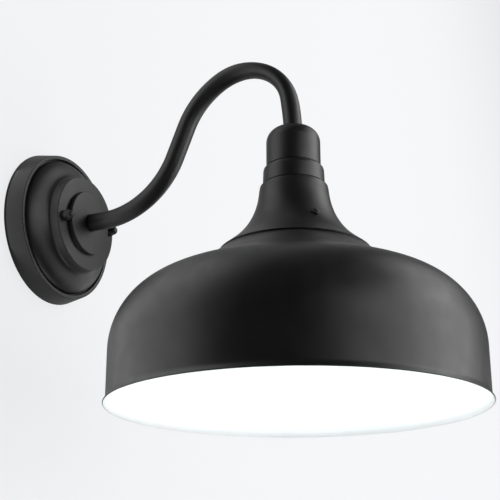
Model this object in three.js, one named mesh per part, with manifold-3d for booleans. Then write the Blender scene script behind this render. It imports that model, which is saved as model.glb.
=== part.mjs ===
// Gooseneck wall lantern ("barn light"), in millimetres.
// +Z is up and the wall is the plane y = 0. The origin is the centre of the canopy, on the wall, and the lamp
// reaches out from the wall towards -Y. "Out" below means the distance from the wall, so y = -out.

import * as THREE from 'three';
import { mergeVertices } from 'three/addons/utils/BufferGeometryUtils.js';
import Module from 'manifold-3d';

const wasm = await Module();
wasm.setup();

// ---------------------------------------------------------------- driving dimensions

const gap = 0.3;                    // clearance between pieces that touch
const sheet = 1.2;                  // thickness of the spun and pressed metal

// Canopy: a deep wall cup with a domed front, a raised boss and a small flange disc on it.
const canopyBackRadius = 70.6;
const canopyLipRadius = 67.2;       // where the tapered side ends
const canopyLipOut = 17.7;
const grooveRadius = 63.4;          // narrow groove between the side and the dome
const grooveDepth = 3.5;
const domeRadius = 62.4;
const bossRadius = 43.6;
const bossOut = 38.0;
const bossRise = 7.5;               // height of the boss above the end of the dome
const flangeRadius = 29.4;
const flangeOut = 42.7;

// Wall bracket and studs.
const bracketThickness = 2.2;
const bracketLength = 108;
const bracketWidth = 24;
const boxScrewSpacing = 88.9;       // slots for the screws of the electrical box
const studRadius = 2.08;            // No. 8-32 thread
const studCircle = 34.925;          // half of the 69.85 mm stud spacing
const studTurn = 6.5;               // degrees that the bracket sits turned from level
const studSides = [['left', -1], ['right', 1]];
const groundScrewX = 17;            // along the bracket, from its middle
const groundScrewRadius = 2.0;
const groundHeadGap = 2.4;          // the ground lead lies under the head
const terminalTail = 17;            // the ground terminal's tail reaches this far from the arm's axis

// Arm: one bent tube. Each entry is a straight stretch, or a bend of a radius up to a heading in degrees,
// where 0 points straight out from the wall and 90 points up.
const armRadius = 8;
const armWall = 1.3;
const armStartOut = 28;
const armStraightOut = 58.5;        // end of the straight stretch at the wall
const armBends = [
  { radius: 77, heading: 68 },
  { straight: 30 },
  { radius: 74.5, heading: 27.5 },
  { radius: 46, heading: -80 },
  { radius: 200, heading: -90 },
];
const armEndHeight = 42.4;          // the tube ends inside the neck

// Neck: a cast bell with a domed top, two stepped rings and a flared skirt.
const neckWall = 2.0;
const neckTopHeight = 51.8;
const neckTopRadius = 22.9;
const neckShoulder = 13.0;          // radius of the domed top's shoulder
const neckCeiling = 49.2;
const ringOne = { height: 15.7, radius: 25.4 };
const ringTwo = { height: -0.9, radius: 28.9, above: 26.1 };
const ringChamfer = 3.0;
const seamRadius = 62.4;            // where the bell meets the shade
const seamHeight = -60.3;
const seamAngle = 40.3;             // slope of the skirt at the seam, degrees below level
const skirtTopAngle = 86.7;         // slope at the top of the skirt
const seamWidth = 0.9;              // open seam between the bell's lip and the shade
const seamStep = 1.2;               // the bell's lip stands proud of the shade by this much

// Shade: a spun dome with a flared collar, a broad shoulder, an upright side and a lip that flares out.
const creaseRadius = 105;
const creaseHeight = -86.9;
const creaseAngle = 14.4;
const sideTop = { radius: 148.1, height: -145.1 };
const sideEnd = { radius: 147.9, height: -180.6 };
const rimRadius = 150;
const rimHeight = -186.6;           // lowest point of the lip's rounded edge
const rimAngle = 58;                // slope of the lip at its edge, degrees below level
const collarTopHeight = -31;        // the shade's inner collar ends here, under the bell

// Screws that hold the shade to the bell.
const bellScrewHeight = -37.5;
const bellScrewAzimuths = [-132, -12, 108];
const bellScrewRadius = 1.7;

// Lampholder and bulb, measured along the lamp's own upright axis.
const strapHoleHeight = 25;
const strapHalf = 15.3;             // half width of the strap over its legs
const strapSheet = 1.4;
const strapTop = neckCeiling - gap;
const holderNeckRadius = 13.2;      // the porcelain's narrow upper part
const terminalHeight = 22;
const socketCeiling = 5;
const socketMouth = -24;
const shellRadius = 13.5;           // bore of the threaded shell
const bulbThreadRadius = 12.9;
const bulbRadius = 30;
const bulbCentre = -77.5;
const leadRadius = 1.1;

// ---------------------------------------------------------------- colours

const finish = (color, roughness, metalness) => () =>
  new THREE.MeshStandardMaterial({ color, roughness, metalness });
const blackPaint = finish(0x17181a, 0.45, 0.1);
const zinc = finish(0xb9bcc0, 0.35, 1);
const brass = finish(0xc9a24f, 0.3, 1);
const nickel = finish(0xc8c9c6, 0.25, 1);
const greenZinc = finish(0x2f8f4e, 0.4, 0.6);
const foam = finish(0x2b2b2c, 0.95, 0);
const rubber = finish(0x101011, 0.8, 0);
const nylon = finish(0xe6e4dc, 0.5, 0);
const porcelain = finish(0xf3f1ea, 0.25, 0);
const whitePlastic = finish(0xf2f2f0, 0.4, 0);
const frosted = finish(0xfdfdfb, 0.6, 0);
const blackGlass = finish(0x1a1414, 0.15, 0);
const boardWhite = finish(0xf5f5f2, 0.6, 0);
const blackInsulation = finish(0x141414, 0.5, 0);
const whiteInsulation = finish(0xe9e9e6, 0.5, 0);
const copper = finish(0xb87246, 0.35, 1);
const orangeCap = finish(0xd96a1c, 0.5, 0);

// ---------------------------------------------------------------- geometry helpers

const radians = THREE.MathUtils.degToRad;
const point = (x, y) => new THREE.Vector2(x, y);
const direction = (degrees) => point(Math.cos(radians(degrees)), Math.sin(radians(degrees)));

// Signed volume of an indexed geometry: negative when its faces point inwards.
function signedVolume(geometry) {
  const position = geometry.attributes.position;
  const corner = [new THREE.Vector3(), new THREE.Vector3(), new THREE.Vector3()];
  let volume = 0;
  for (let i = 0; i < geometry.index.count; i += 3) {
    corner.forEach((v, k) => v.fromBufferAttribute(position, geometry.index.getX(i + k)));
    volume += corner[0].dot(corner[1].clone().cross(corner[2])) / 6;
  }
  return volume;
}

// A closed solid for cutting and joining, from any closed geometry.
function solid(source) {
  let geometry = source.clone();
  geometry.deleteAttribute('normal');
  geometry.deleteAttribute('uv');
  geometry = mergeVertices(geometry, 1e-4);
  const triangles = Uint32Array.from(geometry.index.array);
  if (signedVolume(geometry) < 0) {
    for (let i = 0; i < triangles.length; i += 3) {
      [triangles[i + 1], triangles[i + 2]] = [triangles[i + 2], triangles[i + 1]];
    }
  }
  const vertProperties = Float32Array.from(geometry.attributes.position.array);
  return new wasm.Manifold(new wasm.Mesh({ numProp: 3, vertProperties, triVerts: triangles }));
}

function geometryOf(manifold) {
  const mesh = manifold.getMesh();
  const geometry = new THREE.BufferGeometry();
  geometry.setAttribute('position', new THREE.BufferAttribute(Float32Array.from(mesh.vertProperties), 3));
  geometry.setIndex(new THREE.BufferAttribute(Uint32Array.from(mesh.triVerts), 1));
  geometry.computeVertexNormals();
  return geometry;
}

function makeMesh(name, shape, material) {
  const mesh = new THREE.Mesh(geometryOf(shape), material());
  mesh.name = name;
  return mesh;
}

// A turned solid about +Z from a profile of (radius, height) points.
function turned(profile, segments = 32) {
  const onAxis = (p) => Math.abs(p.x) < 1e-9;
  const closed = onAxis(profile[0]) && onAxis(profile.at(-1)) ? profile : [...profile, profile[0]];
  const geometry = new THREE.LatheGeometry(closed, segments);
  geometry.rotateX(Math.PI / 2);
  return solid(geometry);
}

// The same about the canopy's axis: the profile's heights are distances out from the wall.
function turnedOut(profile, segments = 32) {
  const geometry = geometryOf(turned(profile, segments));
  geometry.rotateX(Math.PI / 2);
  return solid(geometry);
}

function ring(inner, outer, low, high) {
  return [point(inner, low), point(outer, low), point(outer, high), point(inner, high)];
}

function rod(radius, low, high) {
  return [point(0, low), point(radius, low), point(radius, high), point(0, high)];
}

// A shape's outline pushed along +Z between two heights.
function extruded(shape, low, high) {
  const geometry = new THREE.ExtrudeGeometry(shape, { depth: high - low, bevelEnabled: false, curveSegments: 8 });
  geometry.translate(0, 0, low);
  return solid(geometry);
}

function polygonShape(points) {
  return new THREE.Shape(points);
}

function hexagon(acrossFlats) {
  const corner = acrossFlats / 2 / Math.cos(Math.PI / 6);
  return polygonShape([0, 1, 2, 3, 4, 5].map((k) => direction(60 * k).multiplyScalar(corner)));
}

function hexNut(acrossFlats, bore, low, high) {
  const shape = hexagon(acrossFlats);
  const hole = new THREE.Path();
  hole.absarc(0, 0, bore, 0, 2 * Math.PI);
  shape.holes.push(hole);
  return extruded(shape, low, high);
}

// Points along a cubic curve from one point to another, each with its heading and handle length.
function curvePoints(start, startAngle, startHandle, end, endAngle, endHandle, count) {
  const a = start.clone().addScaledVector(direction(startAngle), startHandle);
  const b = end.clone().addScaledVector(direction(endAngle), -endHandle);
  return new THREE.CubicBezierCurve(start, a, b, end).getPoints(count);
}

function arcPoints(centre, radius, from, to, count) {
  return Array.from({ length: count + 1 }, (_, i) =>
    centre.clone().addScaledVector(direction(from + (to - from) * i / count), radius));
}

// A line of points moved sideways, to the right of its heading by the given distance.
function offsetPoints(points, distance) {
  return points.map((p, i) => {
    const before = points[Math.max(i - 1, 0)];
    const after = points[Math.min(i + 1, points.length - 1)];
    const heading = after.clone().sub(before).normalize();
    return point(p.x + heading.y * distance, p.y - heading.x * distance);
  });
}

// A tube of round section along a route, hollow when it has a bore.
function tube(route, radius, steps, bore = 0, halfSides = 4) {
  const section = new THREE.Shape();
  section.absarc(0, 0, radius, 0, 2 * Math.PI);
  if (bore > 0) {
    const hole = new THREE.Path();
    hole.absarc(0, 0, bore, 0, 2 * Math.PI);
    section.holes.push(hole);
  }
  return solid(new THREE.ExtrudeGeometry(section, {
    steps, extrudePath: route, bevelEnabled: false, curveSegments: halfSides,
  }));
}

// A screw along +Z: its head stands above the height 0 and its shank reaches down from it.
function screwSolid(headRadius, headHeight, shankRadius, shankLength, slotWidth = 0) {
  const head = [
    point(0, -shankLength), point(shankRadius, -shankLength), point(shankRadius, 0), point(headRadius, 0),
    point(headRadius, headHeight * 0.55), point(headRadius * 0.75, headHeight), point(0, headHeight),
  ];
  const screw = turned(head, 12);
  if (slotWidth === 0) {
    return screw;
  }
  const slot = new THREE.BoxGeometry(headRadius * 2.4, slotWidth, headHeight);
  slot.translate(0, 0, headHeight);
  return screw.subtract(solid(slot));
}

function placed(object, x, y, z) {
  object.position.set(x, y, z);
  return object;
}

// ---------------------------------------------------------------- the arm's route

// A route in the plane x = 0, made of straight stretches and bends.
class BentRoute extends THREE.Curve {
  constructor(startOut, startHeight) {
    super();
    this.pieces = [];
    this.total = 0;
    this.end = point(startOut, startHeight);
    this.heading = 0;
    this.sideways = 0;
  }

  straight(length) {
    const from = this.end.clone();
    const along = direction(this.heading);
    this.add(length, (s) => from.clone().addScaledVector(along, s));
    return this;
  }

  bend(radius, heading) {
    const from = this.end.clone();
    const start = radians(this.heading);
    const turn = Math.sign(heading - this.heading);
    const length = radius * Math.abs(radians(heading) - start);
    this.add(length, (s) => {
      const angle = start + turn * s / radius;
      return point(
        from.x + turn * radius * (Math.sin(angle) - Math.sin(start)),
        from.y - turn * radius * (Math.cos(angle) - Math.cos(start)),
      );
    });
    this.heading = heading;
    return this;
  }

  add(length, at) {
    this.pieces.push({ from: this.total, length, at });
    this.total += length;
    this.end = at(length);
  }

  getPoint(t, target = new THREE.Vector3()) {
    const s = t * this.total;
    const piece = this.pieces.find((p) => s <= p.from + p.length + 1e-9) ?? this.pieces.at(-1);
    const place = piece.at(s - piece.from);
    return target.set(this.sideways, -place.x, place.y);
  }
}

function makeArmRoute() {
  const route = new BentRoute(armStartOut, 0).straight(armStraightOut - armStartOut);
  for (const step of armBends) {
    if (step.straight) {
      route.straight(step.straight);
    } else {
      route.bend(step.radius, step.heading);
    }
  }
  return route.straight(route.end.y - armEndHeight);
}

const armRoute = makeArmRoute();
const lampOut = armRoute.end.x;     // the lamp's upright axis stands this far from the wall

// ---------------------------------------------------------------- shared profiles

// The bell's flared skirt, from the lower ring to the seam.
function skirtPoints(count) {
  const start = point(ringTwo.radius, ringTwo.height - ringChamfer);
  return curvePoints(start, -skirtTopAngle, 36.4, point(seamRadius, seamHeight), -seamAngle, 10.5, count);
}

// The first point of the skirt that is below a height.
function skirtBelow(height, count) {
  return skirtPoints(count).filter((p) => p.y < height);
}

// ---------------------------------------------------------------- canopy and wall pieces

function canopyShape() {
  const lip = 1.6;
  const domeEnd = point(bossRadius + 2, bossOut - bossRise);
  const domeStart = point(domeRadius, canopyLipOut - grooveDepth);
  const dome = curvePoints(domeStart, 90, 6, domeEnd, 180, 5.5, 5);
  const outer = [
    point(canopyBackRadius, 0),
    point(canopyLipRadius + 0.3, canopyLipOut - lip),
    point(canopyLipRadius - lip * 0.3, canopyLipOut - lip * 0.3),
    point(canopyLipRadius - lip, canopyLipOut),
    point(grooveRadius + 1, canopyLipOut - 0.2),
    point(grooveRadius, canopyLipOut - grooveDepth),
    ...dome,
    point(bossRadius + 0.4, bossOut - bossRise + 0.8),
    point(bossRadius, bossOut - 1.2),
    point(bossRadius - 1.2, bossOut),
    point(armRadius + gap, bossOut),
  ];
  const inner = [
    point(armRadius + gap, bossOut - sheet),
    point(bossRadius - 1.2, bossOut - sheet),
    point(bossRadius - sheet, bossOut - bossRise - sheet),
    ...offsetPoints(dome, -sheet).slice(1, -1).reverse(),
    point(domeRadius - sheet, canopyLipOut - grooveDepth - sheet),
    point(canopyLipRadius - sheet, canopyLipOut - lip - sheet),
    point(canopyBackRadius - sheet, 0),
  ];
  let shape = turnedOut([...outer, ...inner], 32);
  for (const [, side] of studSides) {
    shape = shape.subtract(studHole(side, studRadius + 2 * gap, bossOut - 6, bossOut + 4));
  }
  return shape;
}

function studPlace(side) {
  return direction(studTurn).multiplyScalar(side * studCircle);
}

// A round cutter around a stud's axis, between two distances from the wall.
function studHole(side, radius, low, high) {
  const place = studPlace(side);
  return turnedOut(rod(radius, low, high), 16).translate([place.x, 0, place.y]);
}

function bracketShape() {
  const end = bracketLength / 2 - bracketWidth / 2;
  const outline = new THREE.Shape();
  outline.moveTo(-end, -bracketWidth / 2);
  outline.lineTo(end, -bracketWidth / 2);
  outline.absarc(end, 0, bracketWidth / 2, -Math.PI / 2, Math.PI / 2, false);
  outline.lineTo(-end, bracketWidth / 2);
  outline.absarc(-end, 0, bracketWidth / 2, Math.PI / 2, 3 * Math.PI / 2, false);
  const slotHalf = 4.5;
  const slotRadius = 2.4;
  for (const side of [-1, 1]) {
    const middle = side * boxScrewSpacing / 2;
    const slot = new THREE.Path();
    slot.moveTo(middle - slotHalf, -slotRadius);
    slot.lineTo(middle + slotHalf, -slotRadius);
    slot.absarc(middle + slotHalf, 0, slotRadius, -Math.PI / 2, Math.PI / 2, false);
    slot.lineTo(middle - slotHalf, slotRadius);
    slot.absarc(middle - slotHalf, 0, slotRadius, Math.PI / 2, 3 * Math.PI / 2, false);
    outline.holes.push(slot);
    const stud = new THREE.Path();
    stud.absarc(side * studCircle, 0, studRadius + gap, 0, 2 * Math.PI);
    outline.holes.push(stud);
  }
  const ground = new THREE.Path();
  ground.absarc(groundScrewX, 0, groundScrewRadius + gap, 0, 2 * Math.PI);
  outline.holes.push(ground);
  return extruded(outline, 0, bracketThickness);
}

function groundScrewShape() {
  return screwSolid(4.2, 2.2, groundScrewRadius, bracketThickness + groundHeadGap - gap, 1.0);
}

// A domed cap nut: a hexagon and a dome, with a blind bore for the stud.
function capNutShape() {
  const base = 39.4;
  const hexTop = 43.2;
  const acrossFlats = 8.7;
  const domeBase = acrossFlats / 2 - 0.3;
  const dome = [point(0, hexTop - 0.5), point(domeBase, hexTop - 0.5), point(domeBase, hexTop + 1)];
  dome.push(...arcPoints(point(0, hexTop + 1), domeBase, 18, 90, 5));
  const hexNutSolid = extruded(hexagon(acrossFlats), base, hexTop);
  const bore = turned(rod(studRadius + gap, base - 1, base + 5), 12);
  return hexNutSolid.add(turned(dome, 16)).subtract(bore);
}

function wallPieces() {
  const group = new THREE.Group();
  group.add(makeMesh('wall_gasket', turnedOut(ring(62.2, 68.0, 0, 3), 32), foam));
  group.add(makeMesh('canopy', canopyShape(), blackPaint));

  // Pieces that are drawn along +Z and stand out from the wall, turned with the bracket.
  const bracket = new THREE.Group();
  bracket.rotation.set(Math.PI / 2, radians(-studTurn), 0, 'YXZ');
  bracket.add(makeMesh('wall_bracket', bracketShape(), zinc));
  const groundScrew = makeMesh('ground_screw', groundScrewShape(), greenZinc);
  bracket.add(placed(groundScrew, groundScrewX, 0, bracketThickness + groundHeadGap));
  for (const [name, side] of studSides) {
    const x = side * studCircle;
    const pieces = [
      makeMesh(`mounting_stud_${name}`, turned(rod(studRadius, 0.2, 43.6), 14), zinc),
      makeMesh(`stud_locknut_${name}`, hexNut(8.7, studRadius + gap, 2.5, 5.7), zinc),
      makeMesh(`cap_washer_${name}`, turned(ring(studRadius + gap, 4.9, 38.3, 39.1), 16), rubber),
      makeMesh(`cap_nut_${name}`, capNutShape(), blackPaint),
    ];
    pieces.forEach((piece) => bracket.add(placed(piece, x, 0, 0)));
  }
  group.add(bracket);
  return group;
}

// ---------------------------------------------------------------- arm and its fastenings

function flangeShape() {
  const low = bossOut + gap;
  return turnedOut([
    point(armRadius + gap, low), point(flangeRadius + 0.5, low), point(flangeRadius, low + 1.0),
    point(flangeRadius, flangeOut - 1.2), point(flangeRadius - 0.4, flangeOut - 0.4),
    point(flangeRadius - 1.2, flangeOut), point(armRadius + gap, flangeOut),
  ], 32);
}

// A bushing with a thin flange that covers the tube's cut end, along +Z with the tube above the height 0.
function bushingShape() {
  const bore = armRadius - armWall - 1.7;
  const fit = armRadius - armWall - gap;
  return turned([
    point(bore, -1.5), point(armRadius - 0.2, -1.5), point(armRadius - 0.2, -gap), point(fit, -gap),
    point(fit, 5), point(bore, 5),
  ], 16);
}

function armPieces() {
  const group = new THREE.Group();
  const inside = bossOut - sheet;
  group.add(makeMesh('gooseneck_arm', tube(armRoute, armRadius, 36, armRadius - armWall, 6), blackPaint));
  group.add(makeMesh('arm_flange', flangeShape(), blackPaint));
  group.add(makeMesh('ground_terminal', groundTerminalShape(), copper));
  const outward = new THREE.Group();
  outward.rotation.x = Math.PI / 2;
  const washerRing = ring(armRadius + gap, 11.8, inside - 2.6, inside - 1.6);
  outward.add(makeMesh('arm_lock_washer', turned(washerRing, 20), zinc));
  outward.add(makeMesh('arm_locknut', hexNut(24, armRadius + gap, inside - 7.6, inside - 2.9), zinc));
  outward.add(placed(makeMesh('arm_bushing_wall', bushingShape(), nylon), 0, 0, armStartOut));
  group.add(outward);
  return group;
}

// A ring terminal under the arm's lock washer, with a flat tail for the ground lead.
function groundTerminalShape() {
  const low = bossOut - sheet - 1.3;
  const high = low + 1.0;
  const tail = new THREE.BoxGeometry(8, high - low, 5);
  tail.translate(terminalTail - 4, -(low + high) / 2, 0);
  const body = turnedOut(ring(armRadius + gap, 12, low, high), 20);
  const bore = turnedOut(rod(armRadius + gap, low - 1, high + 1), 20);
  return body.add(solid(tail)).subtract(bore);
}

// ---------------------------------------------------------------- neck and shade

function neckShape() {
  const shoulderCentre = point(neckTopRadius - neckShoulder, neckTopHeight - neckShoulder);
  const innerShoulder = neckShoulder - neckWall;
  const topAngle = 78;
  const ceilingAngle = THREE.MathUtils.radToDeg(Math.asin((neckCeiling - shoulderCentre.y) / innerShoulder));
  const skirt = skirtPoints(6);
  const lip = offsetPoints(skirt, neckWall);
  const outer = [
    point(armRadius + gap, neckTopHeight),
    ...arcPoints(shoulderCentre, neckShoulder, topAngle, 0, 5),
    point(neckTopRadius, ringOne.height),
    point(ringOne.radius - 0.4, ringOne.height - ringChamfer + 0.6),
    point(ringOne.radius, ringOne.height - ringChamfer),
    point(ringTwo.above, ringTwo.height),
    point(ringTwo.radius - 0.4, ringTwo.height - ringChamfer + 0.6),
    ...skirt,
  ];
  const inner = [
    ...lip.slice(1).reverse(),
    point(ringTwo.radius - neckWall, ringTwo.height - ringChamfer - 2),
    point(ringTwo.above - neckWall - 0.6, ringTwo.height - 2),
    point(ringOne.radius - neckWall - 0.4, ringOne.height - ringChamfer - 1),
    point(neckTopRadius - neckWall, ringOne.height - 1),
    ...arcPoints(shoulderCentre, innerShoulder, 0, ceilingAngle, 3),
    point(armRadius + gap, neckCeiling),
  ];
  let shape = turned([...outer, ...inner], 28);
  for (const azimuth of bellScrewAzimuths) {
    shape = shape.subtract(bellScrewHole(azimuth));
  }
  return shape;
}

// The place and outward direction of a bell screw, in its own upright plane.
function bellScrewAxis() {
  const skirt = skirtPoints(60);
  const index = skirt.findIndex((p) => p.y < bellScrewHeight);
  const along = skirt[index + 1].clone().sub(skirt[index - 1]).normalize();
  return { place: skirt[index], lean: Math.atan2(along.x, -along.y) };
}

// Moves a solid drawn along +Z to a bell screw's place, with +Z pointing out of the bell.
function atBellScrew(shape, azimuth) {
  const { place, lean } = bellScrewAxis();
  const tilted = shape.rotate([0, 90 - THREE.MathUtils.radToDeg(lean), 0]);
  return tilted.translate([place.x, 0, place.y]).rotate([0, 0, azimuth]);
}

function bellScrewHole(azimuth) {
  return atBellScrew(turned(rod(bellScrewRadius + gap, -12, 6), 12), azimuth);
}

// A point near the seam: a distance on past it down the skirt's slope, and a depth under the skirt's surface.
function nearSeam(past, depth) {
  const seam = point(seamRadius, seamHeight);
  return seam.addScaledVector(direction(-seamAngle), past).addScaledVector(direction(90 - seamAngle), -depth);
}

function shadeShape() {
  const underDepth = neckWall + gap + 0.1;
  const under = [...offsetPoints(skirtBelow(collarTopHeight, 6), underDepth), nearSeam(seamWidth, underDepth)];
  const collarStart = nearSeam(seamWidth, seamStep);
  const crease = point(creaseRadius, creaseHeight);
  const sideStart = point(sideTop.radius, sideTop.height);
  const lipStart = point(sideEnd.radius, sideEnd.height);
  const collar = curvePoints(collarStart, -seamAngle, 10.4, crease, -creaseAngle, 14.5, 3);
  const shoulder = curvePoints(crease, -creaseAngle, 24.3, sideStart, -90, 29.3, 6);
  const edgeRadius = sheet / 2;
  const edgeCentre = point(rimRadius - edgeRadius, rimHeight + edgeRadius);
  const edge = arcPoints(edgeCentre, edgeRadius, 90 - rimAngle, -90 - rimAngle, 4);
  const lip = curvePoints(lipStart, -90, 2.2, edge[0], -rimAngle, 2.0, 3);
  const outside = [...collar, ...shoulder.slice(1), ...lip];
  const inside = offsetPoints(outside, sheet).slice(1, -1);
  const underInside = offsetPoints(under, sheet);
  const profile = [
    ...under,
    ...outside,
    ...edge.slice(1),
    ...inside.reverse(),
    ...underInside.slice(0, -1).reverse(),
  ];
  let shape = turned(profile, 36);
  for (const azimuth of bellScrewAzimuths) {
    shape = shape.subtract(bellScrewHole(azimuth));
  }
  return shape;
}

// A soft ring that fills the seam between the bell's lip and the shade.
function shadeGasketShape() {
  const near = gap;
  const far = seamWidth - gap;
  const shallow = seamStep + 0.1;
  const deep = neckWall;
  return turned([nearSeam(near, deep), nearSeam(far, deep), nearSeam(far, shallow), nearSeam(near, shallow)], 32);
}

function neckPieces() {
  const group = new THREE.Group();
  group.add(makeMesh('neck_bell', neckShape(), blackPaint));
  group.add(makeMesh('shade', shadeShape(), blackPaint));
  group.add(makeMesh('shade_gasket', shadeGasketShape(), rubber));
  bellScrewAzimuths.forEach((azimuth, i) => {
    const screw = screwSolid(3.0, 1.7, bellScrewRadius, 9, 0.9);
    const lifted = screw.translate([0, 0, gap]);
    group.add(makeMesh(`bell_screw_${i + 1}`, atBellScrew(lifted, azimuth), blackPaint));
  });
  const washerTop = neckCeiling - gap - 1.4 - gap;
  group.add(makeMesh('neck_lock_washer', turned(ring(armRadius + gap, 12.4, washerTop - 0.9, washerTop), 20), zinc));
  group.add(makeMesh('neck_locknut', hexNut(23, armRadius + gap, armEndHeight + 0.2, washerTop - 0.9 - gap), zinc));
  const bushing = makeMesh('arm_bushing_neck', bushingShape(), nylon);
  group.add(placed(bushing, 0, 0, armEndHeight));
  return group;
}

// ---------------------------------------------------------------- lampholder

function strapShape() {
  const bend = 2.8;
  const innerBend = 1.2;
  const inside = strapHalf - strapSheet;
  const under = strapTop - strapSheet;
  const legEnd = strapHoleHeight - 5;
  const outline = polygonShape([
    point(-strapHalf, legEnd), point(-strapHalf, strapTop - bend), point(-strapHalf + bend, strapTop),
    point(strapHalf - bend, strapTop), point(strapHalf, strapTop - bend), point(strapHalf, legEnd),
    point(inside, legEnd), point(inside, under - innerBend), point(inside - innerBend, under),
    point(innerBend - inside, under), point(-inside, under - innerBend), point(-inside, legEnd),
  ]);
  const legWidth = 10;
  const strap = new THREE.ExtrudeGeometry(outline, { depth: legWidth, bevelEnabled: false });
  strap.translate(0, 0, -legWidth / 2);
  strap.rotateX(Math.PI / 2);
  const plate = turned(rod(13.4, strapTop - strapSheet, strapTop), 28);
  const bore = turned(rod(armRadius + gap, strapTop - 5, strapTop + 5), 28);
  return solid(strap).add(plate).subtract(bore).subtract(sideBore(2.0, strapHoleHeight, 10, 0));
}

// A level bore through both sides of the lampholder, from a distance out, at an azimuth.
function sideBore(radius, height, from, azimuth) {
  const bore = turned(rod(radius, from, 30), 12).rotate([0, 90, 0]);
  return bore.add(bore.rotate([0, 0, 180])).translate([0, 0, height]).rotate([0, 0, azimuth]);
}

function porcelainShape() {
  const skirtRadius = 19.2;
  const boreRadius = shellRadius + 1.6;
  const body = turned([
    point(0, 34.4), point(holderNeckRadius - 1.5, 34.4), point(holderNeckRadius, 33), point(holderNeckRadius, 10),
    point(skirtRadius - 1.5, 7), point(skirtRadius, 5), point(skirtRadius, socketMouth + 2),
    point(skirtRadius - 1, socketMouth), point(boreRadius + 0.6, socketMouth),
    point(boreRadius, socketMouth + 1), point(boreRadius, socketCeiling), point(0, socketCeiling),
  ], 24);
  return body.subtract(sideBore(1.9, strapHoleHeight, 7.2, 0)).subtract(sideBore(1.9, terminalHeight, 8.2, 90));
}

function lampShellShape() {
  const outer = shellRadius + 0.6;
  const top = socketCeiling - gap;
  return turned([
    point(shellRadius, socketMouth + 1.5), point(outer, socketMouth + 1.5), point(outer, top),
    point(8.5, top), point(8.5, top - 0.6), point(shellRadius, top - 0.6),
  ], 24);
}

// A leaf of springy brass, riveted at one end and reaching under the middle of the socket.
function centreContactShape() {
  const top = socketCeiling - gap;
  const leaf = polygonShape([
    point(-7.5, top), point(-7.5, top - 0.6), point(-4.5, top - 0.6), point(-2.0, 2.8), point(2.0, 2.8),
    point(2.4, 3.3), point(-1.6, 3.4), point(-4.0, top),
  ]);
  const geometry = new THREE.ExtrudeGeometry(leaf, { depth: 5, bevelEnabled: false });
  geometry.translate(0, 0, -2.5);
  geometry.rotateX(Math.PI / 2);
  return solid(geometry);
}

// A screw whose head faces away from the lamp's axis, with its seat at a distance from that axis.
function sideScrew(name, seat, height, azimuth, shape, material) {
  const turnedScrew = shape.rotate([0, 90, 0]).translate([seat, 0, height]).rotate([0, 0, azimuth]);
  return makeMesh(name, turnedScrew, material);
}

function lampholderPieces() {
  const group = new THREE.Group();
  group.add(makeMesh('lampholder_strap', strapShape(), zinc));
  group.add(makeMesh('lampholder_body', porcelainShape(), porcelain));
  group.add(makeMesh('lampholder_shell', lampShellShape(), nickel));
  group.add(makeMesh('lampholder_contact', centreContactShape(), brass));
  const strapScrew = screwSolid(3.2, 1.6, 1.6, 8, 0.8);
  const terminalScrew = screwSolid(3.3, 1.6, 1.6, 5.2, 0.8);
  group.add(sideScrew('strap_screw_1', strapHalf + gap, strapHoleHeight, 0, strapScrew, zinc));
  group.add(sideScrew('strap_screw_2', strapHalf + gap, strapHoleHeight, 180, strapScrew, zinc));
  const seat = holderNeckRadius + gap;
  group.add(sideScrew('terminal_screw_live', seat, terminalHeight, 90, terminalScrew, brass));
  group.add(sideScrew('terminal_screw_neutral', seat, terminalHeight, -90, terminalScrew, nickel));
  return group;
}

// ---------------------------------------------------------------- bulb

function bulbPieces() {
  const group = new THREE.Group();
  const tip = [point(0, 0.6), point(4.6, 0.6), point(4.6, 1.3), point(3.4, 2.2), point(0, 2.4)];
  const insulator = [
    point(0, -2.2), point(11.6, -2.2), point(11.0, -1.4), point(6.0, -0.4), point(5.4, 0.3), point(0, 0.3),
  ];
  const threadTop = -2.5;
  const threadEnd = -24.5;
  const shellWall = 0.5;
  const baseShell = [
    point(bulbThreadRadius - shellWall, threadEnd), point(bulbThreadRadius, threadEnd),
    point(bulbThreadRadius, threadTop - 1), point(bulbThreadRadius - 1.2, threadTop),
    point(7, threadTop), point(7, threadTop - shellWall), point(bulbThreadRadius - 1.4, threadTop - shellWall),
    point(bulbThreadRadius - shellWall, threadTop - 1.2),
  ];
  const spigot = bulbThreadRadius - shellWall - gap;
  const housing = [
    point(spigot - 1.6, -12), point(spigot, -12), point(spigot, threadEnd - gap),
    point(13.4, threadEnd - gap), point(14.2, -26.5), point(17.5, -37), point(24.5, -54), point(29.2, -66),
    point(27.7, -66), point(23.0, -54.4), point(16.0, -37.4), point(spigot - 1.6, -27),
  ];
  const board = rod(26.2, -65.8, -64.2);
  const globeWall = 1.2;
  const globeTop = 22.5;
  const outerGlobe = arcPoints(point(0, bulbCentre), bulbRadius, globeTop, -90, 7);
  const innerGlobe = arcPoints(point(0, bulbCentre), bulbRadius - globeWall, -90, globeTop, 7);
  outerGlobe.at(-1).x = 0;
  innerGlobe[0].x = 0;
  group.add(makeMesh('bulb_tip', turned(tip, 16), nickel));
  group.add(makeMesh('bulb_insulator', turned(insulator, 24), blackGlass));
  group.add(makeMesh('bulb_base_shell', turned(baseShell, 24), nickel));
  group.add(makeMesh('bulb_housing', turned(housing, 24), whitePlastic));
  group.add(makeMesh('bulb_led_board', turned(board, 24), boardWhite));
  group.add(makeMesh('bulb_globe', turned([...innerGlobe.reverse(), ...outerGlobe.reverse()], 24), frosted));
  return group;
}

// ---------------------------------------------------------------- leads

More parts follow.
